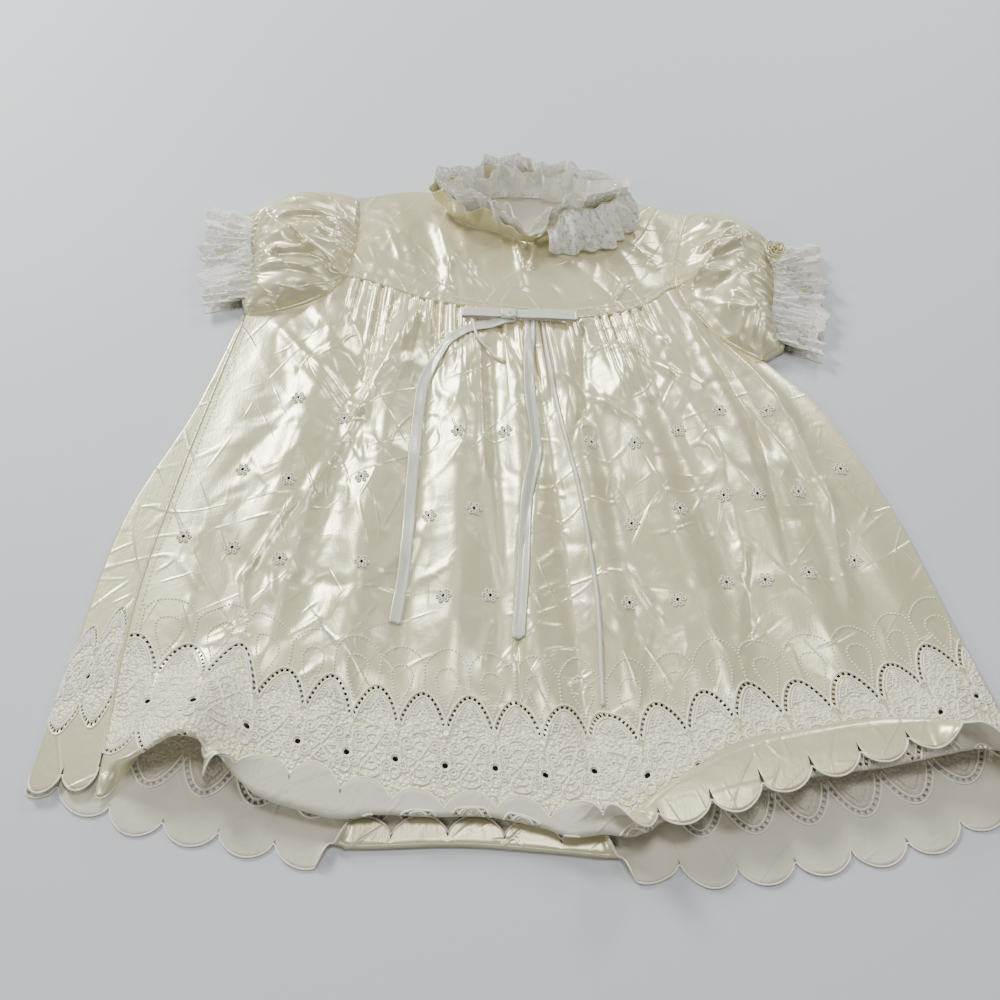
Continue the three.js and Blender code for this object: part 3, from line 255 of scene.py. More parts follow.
SKIRT_CRUMPLES = [
    {"seed": 5, "count": 150, "box": (-185, -170, 205, 110), "lengths": (10, 42),
     "widths": (1.5, 4.0), "height": 0.7},
    {"seed": 6, "count": 90, "box": (-185, 0, 150, 110), "lengths": (20, 60),
     "widths": (1.6, 3.4), "height": 0.8, "slant": (1.2, 1.9)},
    {"seed": 7, "count": 34, "box": (-185, -150, 205, 100), "lengths": (60, 130),
     "widths": (7, 14), "height": 1.5, "slant": (1.1, 2.1)},
]
CREST = 1.25                # the folds and creases stand out this much more than their tables say
GATHERS = 27
GATHER_HEIGHT = 1.25
GATHERED_TO = 0.03          # share of the length over which the gathers keep their height
SKIRT_REST = 5.4            # height of the cloth's middle over the back panel
SEAM_Z = 4.6
LEFT_EDGE_Z = 3.8
RIGHT_EDGE_Z = 2.4
SEAM_WIDTH = 230            # of the panel along its seam, where the hem has HEM_WIDTH
SEAM_RISE = 0.15            # shares of the length over which the height changes
HEM_FROM = 0.78
HEM_RISE = 0.22
FOLD_START = 0.12
FOLD_STOP = 0.18
EDGE_CALM = 14              # one over the share of the width that stays flat at each side
SIDE_SHARE_HELD = 0.05      # share of the width that a side edge's own height reaches
SIDE_HELD_TO = 0.9          # and the share of the length where it ends


def gather_wave(u):
    """Gathers along the seam. Sines that don't match keep them from being even."""
    s = np.clip((u - YOKE_FROM) / (YOKE_TO - YOKE_FROM), 0, 1)
    drift = 0.45 * np.sin(9 * s) + 0.30 * np.sin(23 * s) + 0.14 * np.sin(57 * s + 1)
    wave = np.sin(2 * math.pi * (GATHERS * s + drift))
    fine = 0.45 * np.sin(2 * math.pi * (2.3 * GATHERS * s + 0.7 * np.sin(31 * s)))
    uneven = 0.70 + 0.65 * np.sin(17 * s + 1) * np.sin(41 * s) + 0.35 * np.sin(67 * s)
    return (wave + fine) * uneven * ease(s * 12) * ease((1 - s) * 12)


def skirt_height(u, v, x, y):
    hem_z = read_table(FRONT_HEM, "z", "u", u)
    z = mix(SEAM_Z, SKIRT_REST, ease(v / SEAM_RISE))
    z = z + (hem_z - SKIRT_REST) * ease((v - HEM_FROM) / HEM_RISE) ** 1.3
    width = mix(SEAM_WIDTH, HEM_WIDTH, v)
    inset = ease(u * EDGE_CALM) * ease((1 - u) * EDGE_CALM)
    folds = np.zeros_like(x)
    for k in range(len(FOLDS["top"])):
        top, hem, wide, high, start, stop = (FOLDS[key][k] for key in FOLDS)
        shown = ease((v - start) / FOLD_START) * ease((stop - v) / FOLD_STOP)
        folds += high * shown * bell((u - mix(top, hem, v)) * width, wide)
    fade = 0.17 + 0.07 * np.sin(37 * u) + 0.05 * np.sin(91 * u + 2)
    gathers = GATHER_HEIGHT * gather_wave(u) * (1 - ease((v - GATHERED_TO) / fade))
    body = ease(v / 0.04) * ease((1 - v) / 0.10)
    small = sum(crumple(x, y, **sizes) for sizes in SKIRT_CRUMPLES)
    small += 0.3 * wrinkle_net(x, y, 34, 3.0) - 0.2 * wrinkle_net(x, y, 24, 8.0)
    marks = CREST * creases(x, y, SKIRT_CREASES)
    z = z + (CREST * folds + gathers) * inset + (marks + small) * body * inset
    left = 1 - ease(u / SIDE_SHARE_HELD)
    right = 1 - ease((1 - u) / SIDE_SHARE_HELD)
    held = 1 - ease((v - SIDE_HELD_TO) / 0.1)
    z = mix(z, LEFT_EDGE_Z, left * held)
    return mix(z, RIGHT_EDGE_Z, right * held)


# %% The hem's path past its fold
HEM_RADIUS = 1.5
BAND_RUN = 300.0            # panel length that a share v of 1 stands for near the hem
SHORTEST_BEND = 1.2
SHORTEST_FLAP = 2
SHORTEST_TAIL = -5
SLOPE_FROM = 0.97           # the hem's direction is taken between this share and the fold


def arc_length(angle, radius):
    return np.maximum(np.abs(angle) * radius, SHORTEST_BEND)


def bent_path(past, turn, flap, turn2, radius):
    """Distance along the panel and height of the cloth, past mm after the fold."""
    safe = np.where(np.abs(turn) < 1e-3, 1e-3, turn)
    a1, a2 = arc_length(turn, radius), arc_length(turn2, radius)
    q1 = np.clip(past, 0, a1)
    d = a1 / safe * np.sin(safe * q1 / a1)
    h = a1 / safe * (1 - np.cos(safe * q1 / a1))
    q2 = np.clip(past - a1, 0, flap)
    d, h = d + q2 * np.cos(turn), h + q2 * np.sin(turn)
    rate = np.maximum(turn2, 1e-3) / a2
    q3 = np.clip(past - a1 - flap, 0, a2)
    d = d + (np.sin(turn) - np.sin(turn - rate * q3)) / rate
    h = h + (np.cos(turn - rate * q3) - np.cos(turn)) / rate
    q4 = np.maximum(past - a1 - flap - a2, 0)
    end = turn - rate * a2
    return d + q4 * np.cos(end), h + q4 * np.sin(end)


def hem_row(u):
    row = {key: read_table(FRONT_HEM, key, "u", u) for key in ("turn", "flap", "turn2", "tail")}
    row["turn"] = np.radians(np.clip(row["turn"], -180, 180))
    row["turn2"] = np.radians(np.clip(row["turn2"], 0, 180))
    row["flap"] = np.maximum(row["flap"], SHORTEST_FLAP)
    row["tail"] = np.maximum(row["tail"], SHORTEST_TAIL)
    return row


def front_fold(u):
    """Length of cloth from the scallops' tips to the fold."""
    row = hem_row(u)
    arcs = arc_length(row["turn"], HEM_RADIUS) + arc_length(row["turn2"], HEM_RADIUS)
    return arcs + row["flap"] + row["tail"] + SCALLOP_DEPTH


SHARES = np.linspace(0, 1, 181)
PANEL_X, PANEL_Y = panel_plan(SHARES[None, :], np.linspace(0, 1, 31)[:, None], FRONT_HEM, LEFT_SEAM)
PANEL_RUN = np.hypot(np.diff(PANEL_X, axis=0), np.diff(PANEL_Y, axis=0)).sum(axis=0)


def front_cloth(u, s):
    """Where the front skirt's cloth is, at share u across and length s from the tips' line."""
    row = hem_row(u)
    past = front_fold(u) - s
    run = np.interp(u, SHARES, PANEL_RUN)
    d, h = bent_path(np.maximum(past, 0), row["turn"], row["flap"], row["turn2"], HEM_RADIUS)
    v = np.where(past <= 0, 1 + past / run, 1 + np.minimum(d, 0) / BAND_RUN)
    v = np.clip(v, 0, 1)
    x, y = panel_plan(u, v, FRONT_HEM, LEFT_SEAM)
    ax, ay = panel_plan(u, np.ones_like(u), FRONT_HEM, LEFT_SEAM)
    bx, by = panel_plan(u, np.full_like(u, SLOPE_FROM), FRONT_HEM, LEFT_SEAM)
    reach = np.hypot(ax - bx, ay - by)
    beyond = np.where(past > 0, np.maximum(d, 0), 0)
    z = skirt_height(u, v, x, y) + np.where(past > 0, h, 0)
    return np.stack([x + beyond * (ax - bx) / reach, y + beyond * (ay - by) / reach, z], axis=-1)


# %% [markdown]
# The border's pattern is drawn in its own coordinates: mm along the hem and mm above the
# tips. Along the hem more or less cloth is tucked into the folds, which the column "slack" tells,
# and this function says which length of cloth a height in the pattern stands for.

# %% Pattern heights
SLACK_FROM = 6.0
SLACK_RUN = 18.0


def cloth_length(u, p):
    slack = read_table(FRONT_HEM, "slack", "u", u)
    return p + slack * np.clip((p - SLACK_FROM) / SLACK_RUN, 0, 1)


def lobe_shape(s):
    return np.sqrt(np.abs(np.sin(math.pi * s)))


def front_share(x):
    """The share u across the front panel of a place x mm along the pattern."""
    return np.clip((x / PITCH - FRONT_START / COLUMNS) / SCALLOPS, 0, 1)


def front_edge(u):
    """Length of cloth from the line of the tips to the scalloped edge."""
    upright = np.abs(np.sin(hem_row(u)["turn"]))
    return SCALLOP_DEPTH * (1 - lobe_shape(u * SCALLOPS + FRONT_START / COLUMNS) * (1 - 0.7 * upright))


# %% [markdown]
# Materials. The gown's cloth is polyester satin: long smooth floats of thread that lie side
# by side, so it is shiny on the right side, most of all along its folds, and matt on the
# wrong side. One function adds a node with its values and links, and one turns the colours
# from the hex values that paint programs use into Blender's linear ones. A Mix node has its
# number inputs before its colour inputs, so they are picked by their places in its list.

# %% Helpers for nodes and colours
NUMBER_A, NUMBER_B, NUMBER_OUT = 2, 3, 0
COLOUR_A, COLOUR_B, COLOUR_OUT = 6, 7, 2


def linear(hex_colour):
    values = [int(hex_colour[k:k + 2], 16) / 255 for k in (1, 3, 5)]
    return [v / 12.92 if v <= 0.04045 else ((v + 0.055) / 1.055) ** 2.4 for v in values] + [1.0]


def add_node(tree, kind, inputs=None, **settings):
    node = tree.nodes.new(kind)
    for key, value in settings.items():
        setattr(node, key, value)
    for key, value in (inputs or {}).items():
        if isinstance(value, bpy.types.NodeSocket):
            tree.links.new(value, node.inputs[key])
        else:
            node.inputs[key].default_value = value
    return node


def new_material(name):
    material = bpy.data.materials.new(name)
    material.use_nodes = True
    tree = material.node_tree
    tree.nodes.clear()
    return material, tree


def finish_material(tree, shader):
    out = add_node(tree, "ShaderNodeOutputMaterial")
    tree.links.new(shader.outputs["BSDF"], out.inputs["Surface"])


# %% [markdown]
# Satin. Its threads run along the panel, 0.1 mm apart, too fine to show, so the weave is drawn as
# slubs, which are thicker threads here and there. Thin creases are
# nearly straight lines in some places of the cloth and none in others. Where the border is
# embroidered, an attribute of the cloth makes it whiter, duller and bumpy with stitches, and
# the gaps between the stitches take the satin's darker tone, partly as its ground and partly as painted
# shade.

# %% Satin, its wrong side, ribbon and lace thread
CREASE_HALF = 0.035         # half width of a crease, as a share of the noise's range
CREASE_NETS = [             # m across and along a patch of lines, their turn, and patches a metre
    (0.015, 0.090, 0.45, 26.0), (0.017, 0.080, -0.60, 31.0), (0.018, 0.070, 1.9, 37.0),
]


def crease_lines(tree, place, across, along, turn, patches):
    """A bump height: thin, nearly straight lines in some places of the cloth, flat between them."""
    pulled = add_node(tree, "ShaderNodeMapping", {0: place, "Rotation": (0, 0, turn),
                                                  "Scale": (across, along, across)}, vector_type="TEXTURE")
    bends = add_node(tree, "ShaderNodeTexNoise", {"Vector": pulled.outputs[0], "Scale": 1.0, "Detail": 0.0})
    off = add_node(tree, "ShaderNodeMath", {0: bends.outputs["Fac"], 1: 0.5}, operation="SUBTRACT")
    far = add_node(tree, "ShaderNodeMath", {0: off.outputs[0]}, operation="ABSOLUTE")
    ridge = add_node(tree, "ShaderNodeMapRange", {"Value": far.outputs[0], "From Min": 0.0,
                                                  "From Max": CREASE_HALF, "To Min": 1.0, "To Max": 0.0},
                     interpolation_type="SMOOTHSTEP")
    where = add_node(tree, "ShaderNodeTexNoise", {"Vector": place, "Scale": patches, "Detail": 1.0})
    shown = add_node(tree, "ShaderNodeMapRange", {"Value": where.outputs["Fac"], "From Min": 0.48,
                                                  "From Max": 0.62})
    return add_node(tree, "ShaderNodeMath", {0: ridge.outputs[0], 1: shown.outputs[0]},
                    operation="MULTIPLY").outputs[0]


STITCHED_ROUGHNESS = 0.55


def satin(name, light, shade, roughness, metal, sheen, crinkle, stitched=None, raised_by=0.0, creased=0.0):
    """Smooth woven cloth between two tones, with embroidery of the colour stitched if it has any."""
    material, tree = new_material(name)
    place = add_node(tree, "ShaderNodeTexCoord")
    slubs = add_node(tree, "ShaderNodeMapping", {0: place.outputs["Object"], "Scale": (1100, 160, 500)})
    threads = add_node(tree, "ShaderNodeTexNoise", {"Vector": slubs.outputs[0], "Scale": 1.0, "Detail": 2.0})
    blotches = add_node(tree, "ShaderNodeTexNoise", {"Vector": place.outputs["Object"], "Scale": 22.0,
                                                     "Detail": 3.0})
    soft = add_node(tree, "ShaderNodeTexNoise", {"Vector": place.outputs["Object"], "Scale": 95.0,
                                                 "Detail": 3.0, "Distortion": 1.4})
    tone = add_node(tree, "ShaderNodeMix", {"Factor": blotches.outputs["Fac"], COLOUR_A: linear(light),
                                            COLOUR_B: linear(shade)}, data_type="RGBA")
    weave = add_node(tree, "ShaderNodeBump", {"Strength": 0.22, "Distance": 0.0002,
                                              "Height": threads.outputs["Fac"]})
    bump = add_node(tree, "ShaderNodeBump", {"Strength": crinkle, "Distance": 0.0014,
                                             "Height": soft.outputs["Fac"], "Normal": weave.outputs[0]})
    for net in CREASE_NETS if creased else []:
        lines = crease_lines(tree, place.outputs["Object"], *net)
        bump = add_node(tree, "ShaderNodeBump", {"Strength": creased, "Distance": 0.0008, "Height": lines,
                                                 "Normal": bump.outputs[0]})
    inputs = {"Base Color": tone.outputs[COLOUR_OUT], "Roughness": roughness, "Metallic": metal,
              "Sheen Weight": sheen, "Sheen Roughness": 0.4, "Anisotropic": 0.2, "Normal": bump.outputs[0]}
    if stitched:
        where = add_node(tree, "ShaderNodeAttribute", attribute_name="stitched")
        cells = add_node(tree, "ShaderNodeTexVoronoi", {"Vector": place.outputs["Object"], "Scale": 620.0})
        deep = add_node(tree, "ShaderNodeMath", {0: cells.outputs["Distance"], 1: where.outputs["Fac"]},
                        operation="MULTIPLY")
        filled = add_node(tree, "ShaderNodeBump", {"Strength": raised_by, "Distance": 0.0009,
                                                   "Height": deep.outputs[0], "Normal": bump.outputs[0]},
                          invert=True)
        # Between the stitches the colour goes towards the darker tone: partly the ground showing, partly
        # painted shade in the gaps, where the bump sinks.
        gap = add_node(tree, "ShaderNodeMapRange", {"Value": cells.outputs["Distance"], "From Min": 0.3,
                                                    "From Max": 0.75, "To Min": 0.0, "To Max": 0.75})
        stitches_and_gap_shade = add_node(tree, "ShaderNodeMix", {"Factor": gap.outputs[0], COLOUR_A: linear(stitched),
                                                COLOUR_B: linear(shade)}, data_type="RGBA")
        white = add_node(tree, "ShaderNodeMix", {"Factor": where.outputs["Fac"],
                                                 COLOUR_A: tone.outputs[COLOUR_OUT],
                                                 COLOUR_B: stitches_and_gap_shade.outputs[COLOUR_OUT]}, data_type="RGBA")
        rough = add_node(tree, "ShaderNodeMix", {"Factor": where.outputs["Fac"], NUMBER_A: roughness,
                                                 NUMBER_B: STITCHED_ROUGHNESS})
        inputs.update({"Base Color": white.outputs[COLOUR_OUT], "Roughness": rough.outputs[NUMBER_OUT],
                       "Normal": filled.outputs[0]})
    finish_material(tree, add_node(tree, "ShaderNodeBsdfPrincipled", inputs))
    return material


SATIN = satin("ivory polyester satin", "#e6e0bb", "#d1ca9f", roughness=0.30, metal=0.36, sheen=0.10,
              crinkle=0.10, stitched="#f3edd6", raised_by=0.8, creased=0.28)
WRONG = satin("matt wrong side of the satin", "#dad4c0", "#c8c1aa", roughness=0.60, metal=0.0,
              sheen=0.25, crinkle=0.45, stitched="#d3cdb8", raised_by=0.7, creased=0.3)
RIBBON = satin("white satin ribbon", "#dfddcf", "#d2d1c2", roughness=0.34, metal=0.15, sheen=0.10,
               crinkle=0.1)
THREAD = satin("ivory embroidery thread", "#fbf6e4", "#f4eeda", roughness=0.42, metal=0.0, sheen=0.30,
               crinkle=0.0)
LACE = satin("nylon lace thread", "#faf8ee", "#f2efe3", roughness=0.5, metal=0.0, sheen=0.40, crinkle=0.0)


def net_material():
    """Fine net: threads round six-sided holes of 0.9 mm, and nothing in the holes."""
    material, tree = new_material("nylon net")
    place = add_node(tree, "ShaderNodeUVMap", uv_map="cloth")
    cells = add_node(tree, "ShaderNodeTexVoronoi", {"Vector": place.outputs[0], "Scale": 1000.0,
                                                    "Randomness": 0.35}, feature="DISTANCE_TO_EDGE")
    patches = add_node(tree, "ShaderNodeTexNoise", {"Vector": place.outputs[0], "Scale": 320.0})
    size = add_node(tree, "ShaderNodeMapRange", {"Value": patches.outputs["Fac"], "From Min": 0.35,
                                                 "From Max": 0.65, "To Min": 0.10, "To Max": 0.42})
    strand = add_node(tree, "ShaderNodeMath", {0: cells.outputs["Distance"], 1: size.outputs[0]},
                      operation="LESS_THAN")
    finish_material(tree, add_node(tree, "ShaderNodeBsdfPrincipled", {
        "Base Color": linear("#f8f6ee"), "Roughness": 0.55, "Sheen Weight": 0.4, "Alpha": strand.outputs[0],
    }))
    return material


NET = net_material()
print("materials:", [m.name for m in (SATIN, WRONG, RIBBON, THREAD, LACE, NET)])

# %% [markdown]
# A sheet of cloth is a grid of points with quads between them. A cell that is left out is a
# real hole, as an embroidery machine punches one. The cloth gets a second face half a
# millimetre under the first, in the material of the wrong side, and a rim along open edges.

# %% Build a sheet from a grid
def new_object(name, mesh, materials):
    mesh.shade_smooth()
    piece = bpy.data.objects.new(name, mesh)
    bpy.context.scene.collection.objects.link(piece)
    for material in materials:
        mesh.materials.append(material)
    return piece


def grid_normals(points, ring):
    wide = np.concatenate([points[:, -1:], points, points[:, :1]], axis=1) if ring else points
    across = np.gradient(wide, axis=1)[:, 1:-1] if ring else np.gradient(wide, axis=1)
    normal = np.cross(across, np.gradient(points, axis=0))
    return normal / np.maximum(np.linalg.norm(normal, axis=-1, keepdims=True), 1e-9)


def face_quads(ids, keep):
    return np.stack([ids[:-1, :-1], ids[:-1, 1:], ids[1:, 1:], ids[1:, :-1]], axis=-1)[keep]


def rim_quads(ids, low, keep, ring):
    """Quads that join the two faces along each open edge, a hole's too."""
    part = keep[:len(low) - 1]
    none = np.zeros((1, part.shape[1]), bool)
    next_row = keep[len(part):len(part) + 1] if len(keep) > len(part) else none
    under, over = np.vstack([none, part]), np.vstack([part, next_row])
    side = np.zeros((len(part), 1), bool)
    left = np.hstack([part[:, -1:] if ring else side, part])
    right = np.hstack([part, part[:, :1] if ring else side])

    def join(a, b):
        return np.stack([ids[a], ids[b], low[b], low[a]], axis=-1)
    quads = []
    i, j = np.nonzero(over & ~under)
    quads.append(join((i, j + 1), (i, j)))
    i, j = np.nonzero(under & ~over)
    quads.append(join((i, j), (i, j + 1)))
    i, j = np.nonzero(right & ~left)
    quads.append(join((i, j), (i + 1, j)))
    i, j = np.nonzero(left & ~right)
    quads.append(join((i + 1, j), (i, j)))
    return np.concatenate(quads)


def sheet(name, points, materials, keep=None, ring=False, thick=SATIN_THICK, shift=0.5, lined=None,
          stitched=None, uv=None):
    """Cloth over a grid of points. Its inner face covers the first rows only, if lined says so."""
    rows, cols = points.shape[:2]
    keep = np.ones((rows - 1, cols - 1 + ring), bool) if keep is None else keep
    lined = rows if lined is None else lined
    normal = grid_normals(points, ring) * thick
    outer = points + normal * shift
    ids = np.arange(rows * cols).reshape(rows, cols)
    ids = np.hstack([ids, ids[:, :1]]) if ring else ids
    parts = [face_quads(ids, keep)]
    spots = [outer.reshape(-1, 3)]
    if thick:
        low = ids[:lined] + rows * cols
        spots.append((outer - normal)[:lined].reshape(-1, 3))
        parts += [face_quads(low, keep[:lined - 1])[:, ::-1], rim_quads(ids, low, keep, ring)]
    quads = np.concatenate(parts)
    used, faces = np.unique(quads, return_inverse=True)
    mesh = bpy.data.meshes.new(name)
    mesh.from_pydata(in_frame(np.concatenate(spots)[used]).tolist(), [], faces.reshape(-1, 4).tolist())
    piece = new_object(name, mesh, materials)
    inside = len(materials) - 1
    slots = np.concatenate([np.full(len(part), inside if k == 1 else 0) for k, part in enumerate(parts)])
    mesh.polygons.foreach_set("material_index", slots.astype(np.int32))
    if stitched is not None:
        both = np.concatenate([stitched.ravel(), stitched[:lined].ravel()])
        mesh.attributes.new("stitched", "FLOAT", "POINT").data.foreach_set("value", both[used])
    if uv is not None:
        both = np.concatenate([uv.reshape(-1, 2)] * 2) * MM
        corners = np.zeros(len(mesh.loops), np.int32)
        mesh.loops.foreach_get("vertex_index", corners)
        mesh.uv_layers.new(name="cloth").data.foreach_set("uv", both[used][corners].ravel())
    print(name, "triangles:", 2 * len(quads))
    return piece


def dress(piece, slot, *nodes):
    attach(piece, "root")
    if nodes:
        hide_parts(*nodes)
    return piece


# %% [markdown]
# Thread that follows the cloth, such as a stitched outline or the strands of net, is a set of
# lines in space. Geometry Nodes sweep a small round section along them, and the result is
# turned into a plain mesh. A second tree puts one stitch after another along a line.

# %% Geometry Nodes trees for thread
def new_tree(name, sizes):
    tree = bpy.data.node_groups.new(name, "GeometryNodeTree")
    tree.interface.new_socket("Geometry", in_out="INPUT", socket_type="NodeSocketGeometry")
    for key, kind in sizes.items():
        tree.interface.new_socket(key, in_out="INPUT", socket_type=kind)
    tree.interface.new_socket("Geometry", in_out="OUTPUT", socket_type="NodeSocketGeometry")
    return tree, add_node(tree, "NodeGroupInput")


def close_tree(tree, start, geometry):
    real = add_node(tree, "GeometryNodeRealizeInstances", {0: geometry})
    smooth = add_node(tree, "GeometryNodeSetShadeSmooth", {0: real.outputs[0]})
    paint = add_node(tree, "GeometryNodeSetMaterial", {0: smooth.outputs[0],
                                                       "Material": start.outputs["Material"]})
    add_node(tree, "NodeGroupOutput", {0: paint.outputs[0]})


SWEEP, start = new_tree("sweep thread", {
    "Radius": "NodeSocketFloat", "Sides": "NodeSocketInt", "Material": "NodeSocketMaterial",
})
section = add_node(SWEEP, "GeometryNodeCurvePrimitiveCircle", {
    "Resolution": start.outputs["Sides"], "Radius": start.outputs["Radius"],
})
tube = add_node(SWEEP, "GeometryNodeCurveToMesh", {
    "Curve": start.outputs["Geometry"], "Profile Curve": section.outputs["Curve"], "Fill Caps": True,
})
close_tree(SWEEP, start, tube.outputs["Mesh"])

STITCH, start = new_tree("row of stitches", {
    "Pitch": "NodeSocketFloat", "Length": "NodeSocketFloat", "Radius": "NodeSocketFloat",
    "Material": "NodeSocketMaterial",
})
spaced = add_node(STITCH, "GeometryNodeResampleCurve", {
    "Curve": start.outputs["Geometry"], "Length": start.outputs["Pitch"],
}, mode="LENGTH")
tangent = add_node(STITCH, "GeometryNodeInputTangent")
turned = add_node(STITCH, "FunctionNodeAlignRotationToVector", {"Vector": tangent.outputs[0]}, axis="Z")
bead = add_node(STITCH, "GeometryNodeMeshUVSphere", {"Segments": 6, "Rings": 4, "Radius": 1.0})
shape = add_node(STITCH, "ShaderNodeCombineXYZ", {
    "X": start.outputs["Radius"], "Y": start.outputs["Radius"], "Z": start.outputs["Length"],
})
row_of = add_node(STITCH, "GeometryNodeInstanceOnPoints", {
    "Points": spaced.outputs[0], "Instance": bead.outputs[0], "Rotation": turned.outputs[0],
    "Scale": shape.outputs[0],
})
close_tree(STITCH, start, row_of.outputs[0])


# %% Turn lines into thread
def draw_lines(name, lines, tree, **sizes):
    curve = bpy.data.curves.new(name, "CURVE")
    curve.dimensions = "3D"
    for line in lines:
        points = in_frame(line)
        spline = curve.splines.new("POLY")
        spline.points.add(len(points) - 1)
        spline.points.foreach_set("co", np.hstack([points, np.ones((len(points), 1))]).ravel())
    holder = bpy.data.objects.new(name + " lines", curve)
    bpy.context.scene.collection.objects.link(holder)
    work = holder.modifiers.new("thread", "NODES")
    work.node_group = tree
    for item in tree.interface.items_tree:
        if item.in_out == "INPUT" and item.name in sizes:
            work[item.identifier] = sizes[item.name]
    depsgraph = bpy.context.evaluated_depsgraph_get()
    mesh = bpy.data.meshes.new_from_object(holder.evaluated_get(depsgraph))
    bpy.data.objects.remove(holder)
    mesh.name = name
    piece = bpy.data.objects.new(name, mesh)
    bpy.context.scene.collection.objects.link(piece)
    print(name, "triangles:", sum(len(p.vertices) - 2 for p in mesh.polygons))
    return piece


def thread(name, lines, radius, material=THREAD, sides=4):
    return draw_lines(name, lines, SWEEP, Radius=radius * MM, Sides=sides, Material=material)


def stitches(name, lines, pitch=2.6, length=1.0, radius=0.2, material=THREAD):
    return draw_lines(name, lines, STITCH, Pitch=pitch * MM, Length=length * MM, Radius=radius * MM,
                      Material=material)


# %% [markdown]
# The border. It has two rows of small square holes, arches that point down near the edge and
# arches that point up above them, with round eyelets between their points. The arches are two
# sine curves. A hole takes the grid's cell nearest to its place, and the cell's corners are then
# moved so that it becomes a square of the right size along the arch.

# %% The grid of the border, and its holes
LOW_ARCH = (38.0, -16.0)    # pattern height at the notches, and the rise to the middle
HIGH_ARCH = (64.0, 20.0)
HOLE_STEP = 2.55
HOLE_HALF = 0.66
EYELET_P = 51.0
EYELET_RADIUS = 1.35


def arch_height(arch, x):
    return arch[0] + arch[1] * np.sin(math.pi * np.clip(x / PITCH, 0, 1)) ** 0.65


BORDER_TOP = 104.0
BORDER_ROWS = [             # pattern height where a band starts and ends, and its rows of cells
    (0, 20, 10), (20, 40, 22), (40, 50, 6), (50, 56, 6), (56, 62, 5), (62, 86, 26), (86, BORDER_TOP, 8),
]
ARCH_TIP = 0.55             # mm at each end of an arch that has no hole
TRACE_STEP = 0.02
SLOPE_STEP = 0.1


def row_levels():
    bands = [np.linspace(low, high, count, endpoint=False) for low, high, count in BORDER_ROWS]
    return np.append(np.concatenate(bands), BORDER_TOP)


def arch_cells(arch, levels):
    """The cells of one scallop that become holes: row, column, centre and slant of each."""
    cells = []
    for side in (-1, 1):
        last, run, x0, p0 = None, 0.0, PITCH / 2, float(arch_height(arch, PITCH / 2))
        for reach in np.arange(0, PITCH / 2 - ARCH_TIP, TRACE_STEP):
            x = PITCH / 2 + side * reach
            p = float(arch_height(arch, x))
            run += math.hypot(x - x0, p - p0)
            x0, p0 = x, p
            i, j = int(np.searchsorted(levels, p) - 1), int(x / PITCH * COLUMNS)
            if last is not None and (run < HOLE_STEP or max(abs(i - last[0]), abs(j - last[1])) < 2):
                continue
            if last is not None or side == -1:
                ahead = float(arch_height(arch, x + SLOPE_STEP))
                cells.append((i, j, x, p, math.atan2(ahead - p, SLOPE_STEP)))
            last, run = (i, j), 0.0
    return cells


def punch(grid_x, grid_p, keep, cells, first, start=0):
    """Cut one scallop's holes out of the grid, whose scallop starts at column first."""
    offset = (first + start) / COLUMNS * PITCH
    for i, j, x, p, slant in cells:
        j += first
        if j < 1 or j >= keep.shape[1] - 1:
            continue
        keep[i, j] = False
        slant = (slant + math.pi / 4) % (math.pi / 2) - math.pi / 4
        c, s = math.cos(slant), math.sin(slant)
        for di, dj in ((0, 0), (0, 1), (1, 1), (1, 0)):
            a, b = (2 * dj - 1) * HOLE_HALF, (2 * di - 1) * HOLE_HALF
            grid_x[i + di, j + dj] = x + offset + a * c - b * s
            grid_p[i + di, j + dj] = p + a * s + b * c


def punch_eyelet(grid_x, grid_p, keep, levels, column, start=0):
    """Cut a round eyelet round the corner of the grid at this column."""
    if column < 2 or column > keep.shape[1] - 2:
        return
    low = int(np.argmin(np.abs(levels - (EYELET_P - 1.5))))
    keep[low:low + 3, column - 1:column + 1] = False
    middle = (column + start) / COLUMNS * PITCH
    rim = [(di, dj) for di in range(4) for dj in (-1, 0, 1) if di in (0, 3) or dj != 0]
    for di, dj in rim:
        angle = math.atan2((di - 1.5) / 1.5, dj)
        grid_x[low + di, column + dj] = middle + EYELET_RADIUS * math.cos(angle)
        grid_p[low + di, column + dj] = EYELET_P + EYELET_RADIUS * math.sin(angle)


# %% [markdown]
# The front skirt: the border's rows at fixed heights in the pattern, then rows that run up to
# the gathers under the yoke. The lowest rows are squeezed so that the last one is the
# scalloped edge itself.

# %% Front skirt
UPPER_ROWS = 122
ROWS_CLOSE_UP = 1.12        # over 1, the rows lie closer together towards the seam
LINED_TO = 66.0             # pattern height up to which the inside can be seen
EDGE_ROWS_TO = 12.0
TUCK = np.array([0, 1.6, -1.0])   # from the last row to one more, hidden under the yoke
levels = row_levels()
columns = SCALLOPS * COLUMNS + 1
grid_x = np.tile((np.arange(columns) + FRONT_START) / COLUMNS * PITCH, (len(levels), 1))
grid_p = np.tile(levels[:, None], (1, columns))
keep = np.ones((len(levels) - 1, columns - 1), bool)
low_cells, high_cells = arch_cells(LOW_ARCH, levels), arch_cells(HIGH_ARCH, levels)
for scallop in range(SCALLOPS + 1):
    punch(grid_x, grid_p, keep, low_cells + high_cells, scallop * COLUMNS - FRONT_START, FRONT_START)
    punch_eyelet(grid_x, grid_p, keep, levels, scallop * COLUMNS - FRONT_START, FRONT_START)
u = front_share(grid_x)
edge = front_edge(u)
grid_p = np.where(grid_p < EDGE_ROWS_TO, edge + grid_p / EDGE_ROWS_TO * (EDGE_ROWS_TO - edge), grid_p)
border = cloth_length(u, grid_p)
top_u = u[-1]
top_s = front_fold(top_u) + np.interp(top_u, SHARES, PANEL_RUN)
share = 1 - (1 - np.arange(1, UPPER_ROWS + 1) / UPPER_ROWS) ** ROWS_CLOSE_UP
